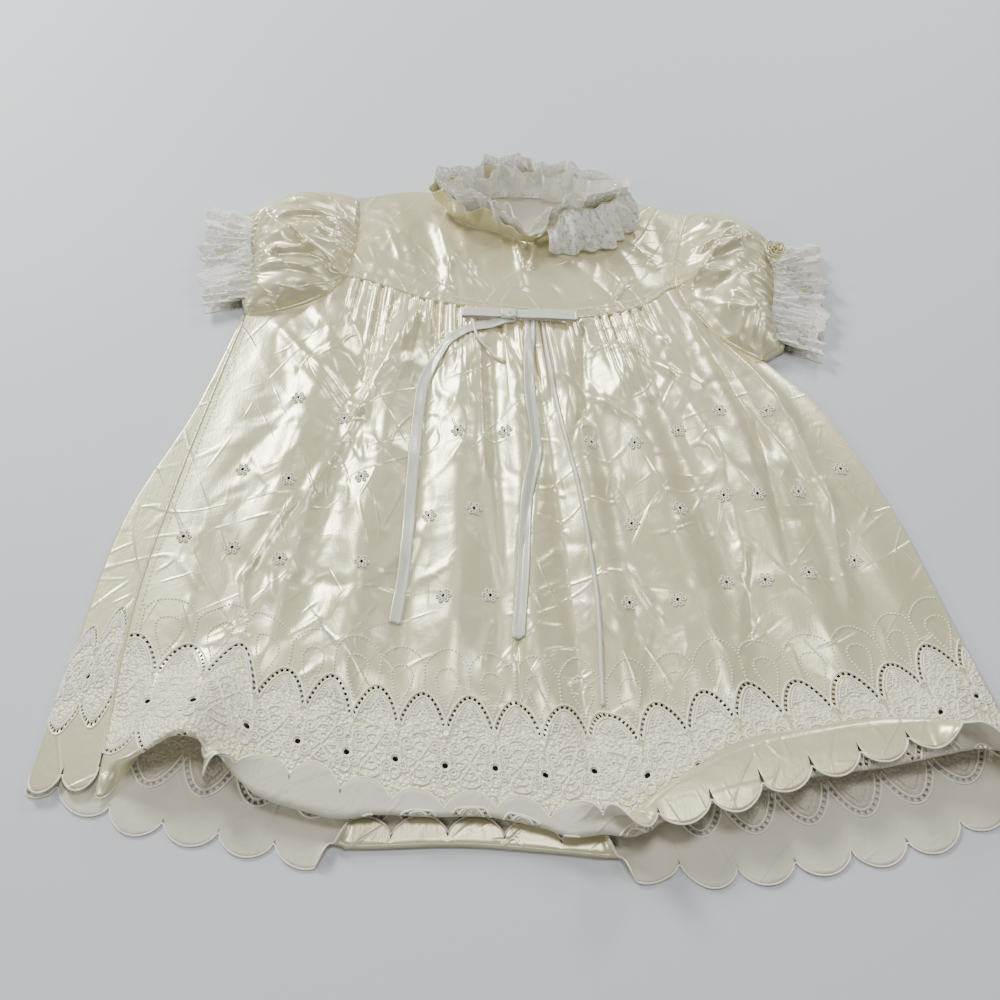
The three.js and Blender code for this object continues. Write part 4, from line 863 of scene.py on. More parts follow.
upper = mix(border[-1][None, :], top_s[None, :], share[:, None])
all_u = np.vstack([u, np.tile(top_u, (UPPER_ROWS, 1))])
all_s = np.vstack([border, upper])
front_points = front_cloth(all_u, all_s)
tuck = front_points[-1] + TUCK
keep = np.vstack([keep, np.ones((UPPER_ROWS + 1, columns - 1), bool)])


def punch_flowers(points, keep, places):
    """Leave out the cell nearest to each flower's place, and say where its middle is."""
    middles = (points[:-1, :-1] + points[1:, 1:]) / 2
    found = []
    for place in places:
        away = np.hypot(middles[..., 0] - place[0], middles[..., 1] - place[1])
        spot = np.unravel_index(np.argmin(away), away.shape)
        keep[spot] = False
        found.append(middles[spot][:2])
    return found


def stitched_zone(x, p):
    """1 where the cloth between the two rows of arches is covered in stitches."""
    x = np.mod(x, PITCH)
    low, high = arch_height(LOW_ARCH, x), arch_height(HIGH_ARCH, x)
    return ease((p - low - 0.5) / 1.5) * ease((high - 4.5 - p) / 2.5)


FLOWER_PLACES = [
    (-119, 33), (-95, 21), (-144, -13), (-120, -20), (-83, -18), (-168, -53), (-144, -60), (-120, -67),
    (-80, -71), (-35, 11), (-11, 12), (-49, -41), (-27, -38), (-40, -87), (-18, -86), (33, 5), (55, 3),
    (79, 14), (101, 23), (126, 27), (51, -45), (75, -38), (98, -29), (114, -30), (136, -26), (159, -12),
    (47, -91), (70, -89), (94, -79), (113, -77), (133, -76), (158, -66),
]
flower_middles = punch_flowers(front_points, keep, FLOWER_PLACES)
zone = np.vstack([stitched_zone(grid_x, grid_p), np.zeros((UPPER_ROWS + 1, columns))])
front_skirt = sheet("front-skirt", np.concatenate([front_points, tuck[None]]), [SATIN, WRONG], keep,
                    lined=int(np.searchsorted(levels, LINED_TO)), stitched=zone)
dress(front_skirt, "satin", "front_skirt")

# %% [markdown]
# The back skirt is one panel too. It lies flat on the table and wraps round the left side to
# the front, where its edge is sewn to the front panel. Its own hem shows its matt inside below
# the lifted front hem, and in the middle it is turned up.

# %% Back skirt
BACK_SCALLOPS = 18
BACK_PHASE = 0.47
BACK_STRIP = 2.0            # scallops on the strip that lies on the front
BACK_END = 0.5              # scallops past the last whole one, on the right
TURN_START = -0.2           # scallops, where the strip starts to turn under
BACK_BAND = 2.5             # from the fold to the notches of the scallops
BAND_AT_TURN = 0.5
BACK_RADIUS = 1.0
WRAP_RADIUS = 1.6
SHOULDER = 1.92             # the strip's outer edge lies this far inside the wrap's outline
SHOULDER_SHARE = 0.03
STRIP_GAP = 0.8
STRIP_EDGE = 0.6            # least width of the strip
BACK_Z = 0.6
BACK_RUN = 262.0            # panel length that a share v of 1 stands for
BACK_SLOPE_FROM = 0.95
BACK_TOP = 280.0            # length of cloth from the tips to the last row
BACK_ROWS = 12
BACK_CRUMPLES = {"seed": 21, "count": 160, "box": (-215, -215, 215, 90), "lengths": (12, 40),
                 "widths": (2.5, 5), "height": 0.8}
EYELETS_TO = 3              # scallops further on hide their upper holes under the front


def back_section(c, v):
    """Plan and height of the back panel, c in scallops from -BACK_STRIP on the strip."""
    seam_x = read_table(LEFT_SEAM, "x", "v", v) - STRIP_GAP
    seam_y = read_table(LEFT_SEAM, "y", "v", v)
    out_x, out_y = read_table(LEFT_OUTLINE, "x", "v", v), read_table(LEFT_OUTLINE, "y", "v", v)
    end_x = np.minimum(out_x + SHOULDER, seam_x - STRIP_EDGE)
    t = np.clip((c + BACK_STRIP) / (BACK_STRIP + TURN_START), 0, 1)
    angle = np.clip((c - TURN_START) / (BACK_PHASE - TURN_START), 0, 1) * math.pi
    u = np.clip((c - BACK_PHASE) / BACK_SCALLOPS, 0, 1)
    px, py = panel_plan(u, v, BACK_HEM, LEFT_OUTLINE)
    px = px + SHOULDER * np.clip(1 - u / SHOULDER_SHARE, 0, 1)
    strip, bottom = c < TURN_START, c > BACK_PHASE
    x = np.where(strip, mix(seam_x, end_x, t), np.where(bottom, px, end_x - WRAP_RADIUS * np.sin(angle)))
    y = np.where(strip, mix(seam_y, out_y, t), np.where(bottom, py, out_y))
    z = np.where(bottom, BACK_Z, BACK_Z + WRAP_RADIUS + WRAP_RADIUS * np.cos(angle))
    ripple = np.abs(crumple(x, y, **BACK_CRUMPLES))
    ripple = ripple * np.where(bottom, 1, 0.35 * ease(t * 4) * ease((1 - t) * 6))
    return x, y, z + ripple * ease((c + BACK_STRIP) * 2)


def back_hem(c):
    u = np.clip((c - BACK_PHASE) / BACK_SCALLOPS, 0, 1)
    turn = np.where(c > BACK_PHASE, np.clip(read_table(BACK_HEM, "turn", "u", u), 0, 180), 0)
    upright = 1 - np.abs(turn - 90) / 90
    return np.radians(turn), mix(BACK_BAND, BAND_AT_TURN, upright), upright


STRIP_SLACK = 12.0


def back_length(c, p):
    """Length of cloth above the tips for a pattern height. The strip has more below its pattern."""
    return p + STRIP_SLACK * (1 - ease(c / BACK_PHASE)) * np.clip((p - SLACK_FROM) / SLACK_RUN, 0, 1)


def back_cloth(c, s):
    turn, band, upright = back_hem(c)
    fold = arc_length(turn, BACK_RADIUS) + band + SCALLOP_DEPTH
    past = fold - s
    d, h = bent_path(np.maximum(past, 0), turn, band + SCALLOP_DEPTH, np.zeros_like(turn), BACK_RADIUS)
    v = np.clip(1 + np.minimum(past, 0) / BACK_RUN, 0, 1)
    x, y, z = back_section(c, v)
    ax, ay, _ = back_section(c, np.ones_like(c))
    bx, by, _ = back_section(c, np.full_like(c, BACK_SLOPE_FROM))
    reach = np.hypot(ax - bx, ay - by)
    d = np.where(past > 0, d, 0)
    h = np.where(past > 0, h, 0)
    return np.stack([x + d * (ax - bx) / reach, y + d * (ay - by) / reach, z + h], axis=-1)


def back_scallop_edge(c):
    """Length of cloth from the line of the tips to the back's scalloped edge."""
    return SCALLOP_DEPTH * (1 - lobe_shape(c) * (1 - back_hem(c)[2]))


back_columns = int((BACK_STRIP + BACK_SCALLOPS + BACK_END) * COLUMNS)
back_x = np.tile(np.arange(back_columns + 1) / COLUMNS * PITCH, (len(levels), 1))
back_p = np.tile(levels[:, None], (1, back_columns + 1))
keep = np.ones((len(levels) - 1, back_columns), bool)
for scallop in range(int(BACK_STRIP) + BACK_SCALLOPS + 1):
    hidden = scallop > EYELETS_TO
    punch(back_x, back_p, keep, low_cells + ([] if hidden else high_cells), scallop * COLUMNS)
    if not hidden:
        punch_eyelet(back_x, back_p, keep, levels, scallop * COLUMNS)
c = back_x / PITCH - BACK_STRIP
edge = back_scallop_edge(c)
back_p = np.where(back_p < EDGE_ROWS_TO, edge + back_p / EDGE_ROWS_TO * (EDGE_ROWS_TO - edge), back_p)
back_s = back_length(c, back_p)
rest = mix(back_s[-1][None, :], BACK_TOP, (np.arange(1, BACK_ROWS + 1) / BACK_ROWS)[:, None])
all_c = np.vstack([c, np.tile(c[-1], (BACK_ROWS, 1))])
back_points = back_cloth(all_c, np.vstack([back_s, rest]))
keep = np.vstack([keep, np.ones((BACK_ROWS, back_columns), bool)])
zone = np.vstack([stitched_zone(back_x, back_p), np.zeros((BACK_ROWS, back_columns + 1))])
back_skirt = sheet("back-skirt", back_points[::-1], [SATIN, WRONG], keep[::-1], stitched=zone[::-1])
dress(back_skirt, "satin", "back_skirt")

# %% [markdown]
# The yoke is smooth satin with a few soft creases. A flat band is stitched along its lower
# edge, over the gathers. Its upper edge turns down to the back yoke at the shoulders.

# %% Yokes
FRONT_NECK = table("t x y z", [
    (0.00, -100, 192, 2.6), (0.22, -58, 197, 2.8), (0.30, -46, 180, 4.4), (0.40, -26, 164, 5.0),
    (0.50, -1, 158, 5.2), (0.60, 22, 162, 5.0), (0.70, 41, 174, 4.4), (0.78, 53, 189, 2.8),
    (1.00, 98, 177, 2.6),
])
BACK_NECK = table("t x y", [
    (0.00, -100, 192), (0.22, -58, 198), (0.32, -38, 203), (0.50, -1, 204), (0.68, 36, 200),
    (0.78, 53, 190), (1.00, 98, 177),
])
YOKE_CREASES = [
    (-75, 190, -62, 130, 6, 0.9), (-48, 165, -34, 120, 5, 1.2), (-20, 155, -28, 125, 5, -0.8),
    (-6, 160, -1, 134, 1.5, 3.2), (9, 162, 4, 134, 1.6, 3.6), (2, 160, 2, 140, 1.6, -2.4),
    (40, 165, 74, 148, 5, 1.0), (52, 150, 66, 118, 6, 1.2), (78, 165, 82, 130, 5, -0.8),
    (-49, 160, -43, 134, 3.6, 1.7), (-43, 134, -44, 113, 3, 1.5), (-36, 160, -31, 131, 3.6, 1.4),
    (-78, 161, -72, 141, 1.6, 0.8), (-67, 161, -56, 128, 3, -0.6), (-83, 134, -56, 117, 3, 0.6),
    (-40, 141, -23, 117, 1.6, 0.8), (52, 108, 59, 120, 2, 1.4), (46, 174, 72, 140, 1.6, 0.7),
    (62, 145, 76, 138, 1.6, 0.7), (76, 131, 90, 142, 1.8, 1), (-94, 183, -84, 180, 2, 0.5),
    (-86, 116, -53, 112, 2, 0.5), (21, 144, 42, 116, 4, 0.8), (-3, 134, 0, 116, 2, 0.8),
]
YOKE_GAP = 0.7
YOKE_BAND = 0.067           # share of the height that the flat band takes
BAND_RAISE = 0.5
YOKE_BOW = 2                # mm that the sides curve
YOKE_SWELL = 0.8
YOKE_GATHER = 0.25          # the gathers show through the band this much
YOKE_CRUMPLES = {"seed": 31, "count": 70, "box": (-95, 100, 90, 190), "lengths": (8, 30),
                 "widths": (1.2, 3.2), "height": 0.75}
BACK_YOKE_CRUMPLES = {"seed": 33, "count": 50, "box": (-95, 100, 90, 200), "lengths": (8, 26),
                      "widths": (2, 4), "height": 0.5}


def yoke_plan(neck, t, v):
    u = mix(YOKE_FROM, YOKE_TO, t)
    low_x, low_y = read_table(SKIRT_TOP, "x", "u", u), read_table(SKIRT_TOP, "y", "u", u)
    bow = 4 * v * (1 - v)
    return (mix(low_x, read_table(neck, "x", "t", t), v) + bow * (1 - 2 * t) * YOKE_BOW,
            mix(low_y + YOKE_GAP, read_table(neck, "y", "t", t), v))


def yoke_height(t, v, x, y):
    edge = ease(t * 10) * ease((1 - t) * 10)
    inner = ease(v * 7) * ease((1 - v) * 5)
    z = mix(SEAM_Z, read_table(FRONT_NECK, "z", "t", t), v) + YOKE_SWELL * inner * edge
    small = crumple(x, y, **YOKE_CRUMPLES)
    small += 0.25 * wrinkle_net(x, y, 30, 5.0)
    z = z + (creases(x, y, YOKE_CREASES) + small) * edge * inner
    band = 1 - ease((v - YOKE_BAND) / 0.012)
    gathers = YOKE_GATHER * gather_wave(mix(YOKE_FROM, YOKE_TO, t)) * (1 - ease(v / 0.12))
    return z + BAND_RAISE * band + gathers - 1.6 * (v < 0)


yoke_v = np.concatenate([[-0.004], np.linspace(0, 0.1, 12), np.linspace(0.115, 1, 70)])
t, v = np.meshgrid(np.linspace(0, 1, 161), yoke_v)
x, y = yoke_plan(FRONT_NECK, t, v)
yoke_points = np.stack([x, y, yoke_height(t, v, x, y)], axis=-1)
shoulder = yoke_points[-1] + np.array([0, 0.7, -0.6])
fold = yoke_points[-1] * np.array([1, 1, 0]) + np.array([0, 0.9, 1.4])
yoke_points = np.concatenate([yoke_points, shoulder[None], fold[None]])
front_yoke = sheet("front-yoke", yoke_points, [SATIN, WRONG])
dress(front_yoke, "satin", "front_yoke")

t, v = np.meshgrid(np.linspace(0, 1, 101), np.linspace(0, 1, 36))
x, y = yoke_plan(BACK_NECK, t, v)
ripple = np.abs(crumple(x, y, **BACK_YOKE_CRUMPLES)) * ease(v * 8)
back_yoke = sheet("back-yoke", np.stack([x, y, BACK_Z + ripple], axis=-1)[::-1], [SATIN, WRONG])
dress(back_yoke, "satin", "back_yoke")

# %% [markdown]
# Puffed sleeves. Each is a tube that lies flat, gathered into the armhole and again by an
# elastic near the cuff, so the satin between bulges and folds. The rings of the tube run round
# from the folded edge at the underarm, along the table, and back over the top.

# %% Sleeves
SLEEVES = {
    "left": {
        "end": 0,
        "cuff": table("w x y", [(0, -158, 103), (0.35, -163, 124), (0.7, -167, 150), (1, -166, 174)]),
        "top_bulge": 12,
        "low_bulge": -1,
        "fan": table("w x y", [(0, -0.75, -0.15), (0.5, -1, 0), (1, -0.9, 0.5)]),
        "folds": [
            (-106, 178, -140, 184, 5, 1.8), (-104, 160, -150, 168, 5, 1.9), (-106, 140, -150, 146, 5, 1.8),
            (-120, 120, -156, 122, 4, 1.6),
            (-137, 161, -97, 166, 1.5, 1.8), (-137, 192, -113, 182, 2, 1.6),
            (-113, 182, -102, 167, 1.8, 1.6), (-118, 153, -99, 137, 1.5, 1.4),
            (-151, 166, -132, 142, 2, 1.8), (-132, 142, -109, 128, 1.8, 1.7),
            (-157, 128, -140, 129, 1.8, 1.6), (-140, 129, -122, 133, 1.8, 1.8),
            (-122, 133, -99, 128, 1.8, 1.5),
            (-134, 107, -110, 106, 2, 1.2), (-131, 175, -108, 172, 3, -1.4), (-129, 146, -103, 148, 2, -1.2),
            (-143, 118, -109, 118, 4, -1.5), (-154, 179, -149, 167, 2.4, 1.2),
        ],
    },
    "right": {
        "end": 1,
        "cuff": table("w x y", [(0, 141, 70), (0.35, 146, 92), (0.7, 150, 122), (1, 149, 145)]),
        "top_bulge": 14,
        "low_bulge": 0,
        "fan": table("w x y", [(0, 0.8, -0.35), (0.5, 1, 0), (1, 0.9, 0.4)]),
        "folds": [
            (104, 160, 132, 152, 5, 1.8), (98, 140, 140, 128, 5, 2.0), (96, 118, 138, 108, 5, 1.8),
            (108, 92, 138, 86, 4, 1.6),
            (95, 114, 107, 129, 2, 2), (107, 129, 122, 137, 2, 2), (122, 137, 127, 145, 1.8, 1.6),
            (88, 133, 102, 135, 1.8, 1.2), (102, 135, 116, 147, 1.8, 1.5), (116, 147, 128, 148, 1.8, 1.5),
            (128, 148, 134, 143, 1.8, 1.2), (97, 170, 106, 161, 1.6, 1.4), (106, 161, 120, 157, 1.6, 1.4),
            (117, 99, 126, 91, 1.8, 1.4), (118, 83, 114, 63, 1.5, 1), (125, 83, 121, 65, 1.5, 1),
            (131, 85, 126, 58, 1.6, 1.2), (105, 106, 123, 118, 4, -1.5), (101, 146, 119, 154, 2.4, -1.1),
            (122, 125, 130, 118, 2, 1.2),
        ],
    },
}
PUFF = table("b h", [
    (0.00, 1.6), (0.10, 7), (0.35, 13), (0.60, 13.5), (0.76, 9.5), (0.84, 4.8), (0.90, 5.2), (1.00, 4.8),
])
ARM_CORNER = 0.45           # w of the yoke's lower corner on the armhole
ARM_GAP = 0.8
ARM_STEP = 0.03             # either side of w, for the armhole's direction
SLEEVE_EDGE_Z = 3.8
SLEEVE_RISE = 1.4
SLEEVE_CREST = 2.1          # the sleeves' folds stand out this much more than their tables say
SLEEVE_SEED = 41            # and one more on the right
SLEEVE_CRUMPLES = {"count": 22, "lengths": (12, 34), "widths": (1.6, 3.6), "height": 1.5,
                   "slant": (-0.5, 0.5)}
ARMHOLE_GATHERS = {"count": 13, "height": 0.6, "reach": 0.35}
CUFF_GATHERS = {"count": 17, "height": 1.2, "reach": 0.17, "elastic": 0.86}
TUBE_EDGE = 1.9             # height of the folded edges of a flattened tube
TUBE_INSET = 0.012          # share of its width from a folded edge to the first column
UNDER_Z = 0.05


def arm_edge(sleeve, w):
    s = np.clip(w / ARM_CORNER, 0, 1)
    u = mix(0, YOKE_FROM, s) if sleeve["end"] == 0 else mix(1, YOKE_TO, s)
    low = read_table(SKIRT_TOP, "x", "u", u), read_table(SKIRT_TOP, "y", "u", u)
    up = np.clip((w - ARM_CORNER) / (1 - ARM_CORNER), 0, 1)
    high = yoke_plan(FRONT_NECK, np.full_like(w, sleeve["end"]), up)
    return np.where(w < ARM_CORNER, low[0], high[0]), np.where(w < ARM_CORNER, low[1], high[1])


def sleeve_plan(sleeve, w, b):
    bulge = mix(sleeve["low_bulge"], sleeve["top_bulge"], ease(w) ** 3) * 4 * b * (1 - b)
    x1, y1 = arm_edge(sleeve, np.minimum(1, w + ARM_STEP))
    x0, y0 = arm_edge(sleeve, np.maximum(0, w - ARM_STEP))
    length = np.hypot(x1 - x0, y1 - y0)
    side = -1 if sleeve["end"] == 0 else 1
    x, y = arm_edge(sleeve, w)
    x = x + (y1 - y0) / length * side * ARM_GAP
    y = y - (x1 - x0) / length * side * ARM_GAP
    return (mix(x, read_table(sleeve["cuff"], "x", "w", w), b),
            mix(y, read_table(sleeve["cuff"], "y", "w", w), b) + bulge)


def sleeve_top(sleeve, w, b):
    across = np.sin(math.pi * np.clip(w, 0, 1)) ** 0.6
    x, y = sleeve_plan(sleeve, w, b)
    middle = np.sin(math.pi * np.clip(b * 1.12, 0, 1)) ** 0.7
    box = (x.min(), y.min(), x.max(), y.max())
    small = crumple(x, y, seed=SLEEVE_SEED + sleeve["end"], box=box, **SLEEVE_CRUMPLES)
    folds = SLEEVE_CREST * creases(x, y, sleeve["folds"]) + small
    near_seam = 1 - ease(b / ARMHOLE_GATHERS["reach"])
    arm = near_seam * np.sin(2 * math.pi * (ARMHOLE_GATHERS["count"] * w + 0.5 * np.sin(9 * w)))
    near_elastic = bell(b - CUFF_GATHERS["elastic"], CUFF_GATHERS["reach"])
    cuff = near_elastic * np.sin(2 * math.pi * (CUFF_GATHERS["count"] * w + 0.6 * np.sin(7 * w)))
    z = SLEEVE_EDGE_Z + (SLEEVE_RISE + read_table(PUFF, "h", "b", b)) * across + folds * across * middle
    gathers = ARMHOLE_GATHERS["height"] * arm + CUFF_GATHERS["height"] * cuff
    z = np.maximum(z + gathers * across, TUBE_EDGE + 0.9 * across)
    return z - 1.5 * across * (b < 0)


def sleeve_rings(sleeve, top_sides, under_sides, shares):
    """A flattened tube as a grid: each row is one ring, from the underarm fold round."""
    under = np.linspace(TUBE_INSET, 1 - TUBE_INSET, under_sides)
    over = np.linspace(1 - TUBE_INSET, TUBE_INSET, top_sides)
    w = np.concatenate([[0.0], under, [1.0], over])
    grid_w, grid_b = np.meshgrid(w, shares)
    x, y = sleeve_plan(sleeve, grid_w, grid_b)
    z = np.where(np.arange(len(w)) > under_sides + 1, sleeve_top(sleeve, grid_w, grid_b), UNDER_Z)
    z[:, 0] = TUBE_EDGE
    z[:, under_sides + 1] = TUBE_EDGE
    return np.stack([x, y, z], axis=-1)


SLEEVE_TUCK = -0.03         # share of the length that lies under the armhole's seam
sleeve_shares = np.concatenate([[SLEEVE_TUCK], np.linspace(0, 1, 72)])
for side, sleeve in SLEEVES.items():
    points = sleeve_rings(sleeve, 120, 24, sleeve_shares)
    if side == "left":
        points = points[::-1]
    piece = sheet(f"{side}-sleeve", points, [SATIN, WRONG], ring=True, shift=0.0)
    dress(piece, "satin", f"{side}_sleeve")

# %% [markdown]
# Lace. A raschel machine knits it as an open net of fine thread with thicker outlines and
# small loops along the edge. The finest net is a material with holes. A coarser net of zigzag
# lines, the outlines and the loops are drawn on the frill's surface and swept as thread.

# %% Lace drawn on a surface
def lace_lines(surface, turns, rows):
    """Zigzags across a surface(a, e), a and e from 0 to 1: turns corners round, rows out."""
    lines = []
    count = 2 * turns
    a = np.arange(count + 1) / count
    for row in range(rows):
        height = (row + 0.5 + 0.5 * (-1) ** (np.arange(count + 1) + row)) / rows
        lines.append(surface(a, height))
    return lines


def lace_edges(surface, loops):
    """The looped outer edge and the thicker outlines of a leaf in each loop."""
    lines = []
    t = np.linspace(0, 1, 9)
    for k in range(loops):
        lines.append(surface((k + t) / loops, 0.86 + 0.14 * np.sin(math.pi * t)))
        lines.append(surface((k + t) / loops, 0.78 + 0.05 * np.sin(math.pi * t)))
        leaf = np.linspace(0, 2 * math.pi, 11)
        lines.append(surface((k + 0.5 + 0.26 * np.sin(leaf)) / loops, 0.45 + 0.22 * np.cos(leaf)))
        lines.append(surface((k + 0.5 + 0.13 * np.sin(leaf)) / loops, 0.45 + 0.12 * np.cos(leaf)))
    return lines


NET_ROWS = 13
STRAND_RADIUS = 0.12
OUTLINE_RADIUS = 0.27
strip_cuts = []             # every gathered strip: its piece, its width in mm, and what is sewn on it


def lace_frill(name, surface, width, depth, turns, rows, loops, nodes=()):
    a, e = np.meshgrid(np.linspace(0, 1, 3 * turns + 1), np.linspace(0, 1, NET_ROWS))
    net = sheet(f"{name}-net", surface(a, e), [NET], thick=0, uv=np.stack([a * width, e * depth], axis=-1))
    dress(net, "lace", *nodes)
    strands = thread(f"{name}-strands", lace_lines(surface, turns, rows), STRAND_RADIUS, LACE, 3)
    outline = thread(f"{name}-outline", lace_edges(surface, loops), OUTLINE_RADIUS, LACE, 3)
    strip_cuts.append((net, depth, [dress(strands, "lace"), dress(outline, "lace")]))


# %% [markdown]
# Each cuff has three gathered layers that fan out from its edge: a satin frill, a long lace, and
# a narrow lace heading over the gathers. One formula places them all. It runs round the cuff: the
# first quarter lies on the table, and the rest comes back over the top.

# %% Cuff frills and lace
CUFF_UNDER = 0.25           # share of a layer's round that lies on the table
CUFF_INSET = 0.03
CUFF_LAYERS = {
    "frill": {"length": 15.0, "start": -5.0, "waves": 10, "height": 1.9, "rest": 5.6, "lift": 0.0},
    "lace": {"length": 27.0, "start": -7.0, "waves": 6, "height": 2.2, "rest": 6.6, "lift": 0.6},
    "heading": {"length": 16.0, "start": -10.0, "waves": 8, "height": 2.8, "rest": 9.0, "lift": 1.6},
}
SLEEVE_RUN = 60             # mm of sleeve that a share b of 1 stands for near the cuff
FRILL_THICK = 0.35


def cuff_surface(sleeve, sizes):
    def surface(a, e):
        under = a < CUFF_UNDER
        out = mix(CUFF_INSET, 1 - CUFF_INSET, a / CUFF_UNDER)
        home = mix(1 - CUFF_INSET, CUFF_INSET, (a - CUFF_UNDER) / (1 - CUFF_UNDER))
        w = np.where(under, out, home)
        uneven = 1 + 0.07 * np.sin(23 * w) + 0.05 * np.sin(51 * w + 1)
        start = np.where(under, 1.0, sizes["start"])
        reach = start + e * (sizes["start"] + sizes["length"] - start) * uneven
        x, y = sleeve_plan(sleeve, w, np.ones_like(w))
        fx, fy = read_table(sleeve["fan"], "x", "w", w), read_table(sleeve["fan"], "y", "w", w)
        size = np.hypot(fx, fy)
        across = np.sin(math.pi * np.clip(w, 0, 1)) ** 0.5
        swing = 2 * math.pi * (sizes["waves"] * w + 0.7 * np.sin(9 * w))
        wave = np.sin(swing) + 0.4 * np.sin(2.6 * swing + 2)
        back = np.clip(1 + np.minimum(reach, 0) / SLEEVE_RUN, 0, 1)
        root = sleeve_top(sleeve, w, back) + 0.6 + sizes["lift"]
        top = mix(root, sizes["rest"] + sizes["height"] * wave * across, ease(1.2 * e))
        sway = 0.9 * e * np.cos(swing)
        z = np.where(under, 0.3, np.maximum(top, 1.0))
        return np.stack([x + fx / size * reach, y + fy / size * reach + sway, z], axis=-1)
    return surface


for side, sleeve in SLEEVES.items():
    for layer, sizes in CUFF_LAYERS.items():
        name = f"{side}-cuff-{layer}"
        surface = cuff_surface(sleeve, sizes)
        if layer == "frill":
            a, e = np.meshgrid(np.linspace(0.26, 0.99, 260), np.linspace(0, 1, 14))
            cuff_frill = sheet(name, surface(a, e), [SATIN], thick=FRILL_THICK)
            strip_cuts.append((dress(cuff_frill, "satin"), sizes["length"], []))
        else:
            lace_frill(name, surface, width=330, depth=sizes["length"], turns=110, rows=9, loops=34,
                       nodes=[f"{side}_cuff_lace"] if layer == "lace" else [])

# %% [markdown]
# The neck. A satin frill stands round the neck opening and leans outwards, and two lace frills
# are sewn inside it. All are rings on the neck's ellipse. The height at which each stands is
# found by a ray cast down onto the solid yoke, as the solids of the frill were seated. On the
# right the lace has come over the frill's rim and fallen onto the yoke.

# %% Rings that stand on the neck edge
def tree_of(*objects):
    """A tree for casting rays at the meshes of some objects."""
    points, faces = [], []
    for piece in objects:
        first = len(points)
        points += [v.co.copy() for v in piece.data.vertices]
        faces += [[first + k for k in p.vertices] for p in piece.data.polygons]
    return BVHTree.FromPolygons(points, faces)


def solid_tree(*names):
    return tree_of(*(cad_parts[name] for name in names))


def drop(tree, x, y):
    """Height in mm of what lies under a place given in mm."""
    place = in_frame((x, y, 0))
    hit = tree.ray_cast(Vector((place[0], place[1], 0.2)), Vector((0, 0, -1)))
    return hit[0].z / MM if hit[0] else -1e3


def highest_near(tree, x, y, reach):
    steps = (-1, -0.5, 0, 0.5, 1)
    return max(drop(tree, x + i * reach, y + j * reach) for i in steps for j in steps)


NECK = {"x": -1, "y": 180, "wide": 46, "front": 22, "back": 21, "tilt": -0.05}
NECK_STANCE = table("angle lean seat tall", [
    (-180, 8, 2.2, 1.1), (-135, 10, 2.4, 1.05), (-90, 20, 3.6, 1.05), (-60, 12, 6.0, 1.05),
    (-35, 8, 7.4, 1.0), (-12, 10, 8.0, 0.75), (6, 24, 8.0, 0.5), (22, 14, 8.0, 0.9),
    (48, 16, 6.6, 1.15), (75, 34, 5.0, 1.2),
    (100, 38, 3.4, 1.15), (135, 14, 2.4, 1.05), (180, 8, 2.2, 1.1),
])
NECK_SLIT = {"angle": 4, "wide": 14, "deep": 9}
NECK_WAVES = 9
NECK_SEAT_LESS = 1.5        # how far a foot may sink below its seat value
NECK_SEAT_REACH = 5         # round each foot, where the neck edge must be cleared
RUFFLE_FROM = 10            # length at which a ruffle has its full depth
yoke_tree = solid_tree("front_yoke", "back_yoke")


def neck_place(angle, inset):
    rad = np.radians(angle)
    ox, oy = np.sin(rad), -np.cos(rad)
    deep = np.where(oy < 0, NECK["front"], NECK["back"])
    deep = deep + NECK_SLIT["deep"] * bell(angle - NECK_SLIT["angle"], NECK_SLIT["wide"])
    x = NECK["x"] + (NECK["wide"] - inset) * ox
    return x, NECK["y"] + (deep - inset) * oy + NECK["tilt"] * (x - NECK["x"]), ox, oy


def neck_surface(inset, length, wave, slack, phase):
    turn = np.linspace(-180, 180, 61)
    stands = read_table(NECK_STANCE, "seat", "angle", turn) - NECK_SEAT_LESS
    places = zip(*neck_place(turn, 0)[:2])
    seats = [max(stand, highest_near(yoke_tree, x, y, NECK_SEAT_REACH) + 0.9)
             for stand, (x, y) in zip(stands, places)]

    def surface(a, e):
        angle = a * 360 - 180
        x, y, ox, oy = neck_place(angle, inset)
        lean = np.radians(read_table(NECK_STANCE, "lean", "angle", angle) - slack)
        swing = 2 * math.pi * (NECK_WAVES * a + 0.35 * np.sin(2 * math.pi * 2 * a) + phase)
        ruffle = np.sin(swing) + 0.45 * np.sin(2.4 * swing + 2) + 0.5 * np.sin(2 * math.pi * 4 * a + 1)
        tall = read_table(NECK_STANCE, "tall", "angle", angle)
        ragged = 1 + 0.08 * np.sin(2 * math.pi * 7 * a) + 0.06 * np.sin(2 * math.pi * 17 * a)
        reach = e * length * tall * ragged
        push = wave * ruffle * np.minimum(1, reach / RUFFLE_FROM)
        side = np.cos(lean) * push + np.sin(lean) * reach
        z = np.interp(angle, turn, seats) + np.cos(lean) * reach - np.sin(lean) * push
        return np.stack([x + ox * side, y + oy * side, np.maximum(z, 1.5)], axis=-1)
    return surface


frill_surface = neck_surface(inset=0, length=16, wave=2.4, slack=0, phase=0.1)
FALLEN = {"from": 16, "to": 118, "out": 22, "rise": 2.2, "ruffle": 2.8, "waves": 5, "drift": -5.0}


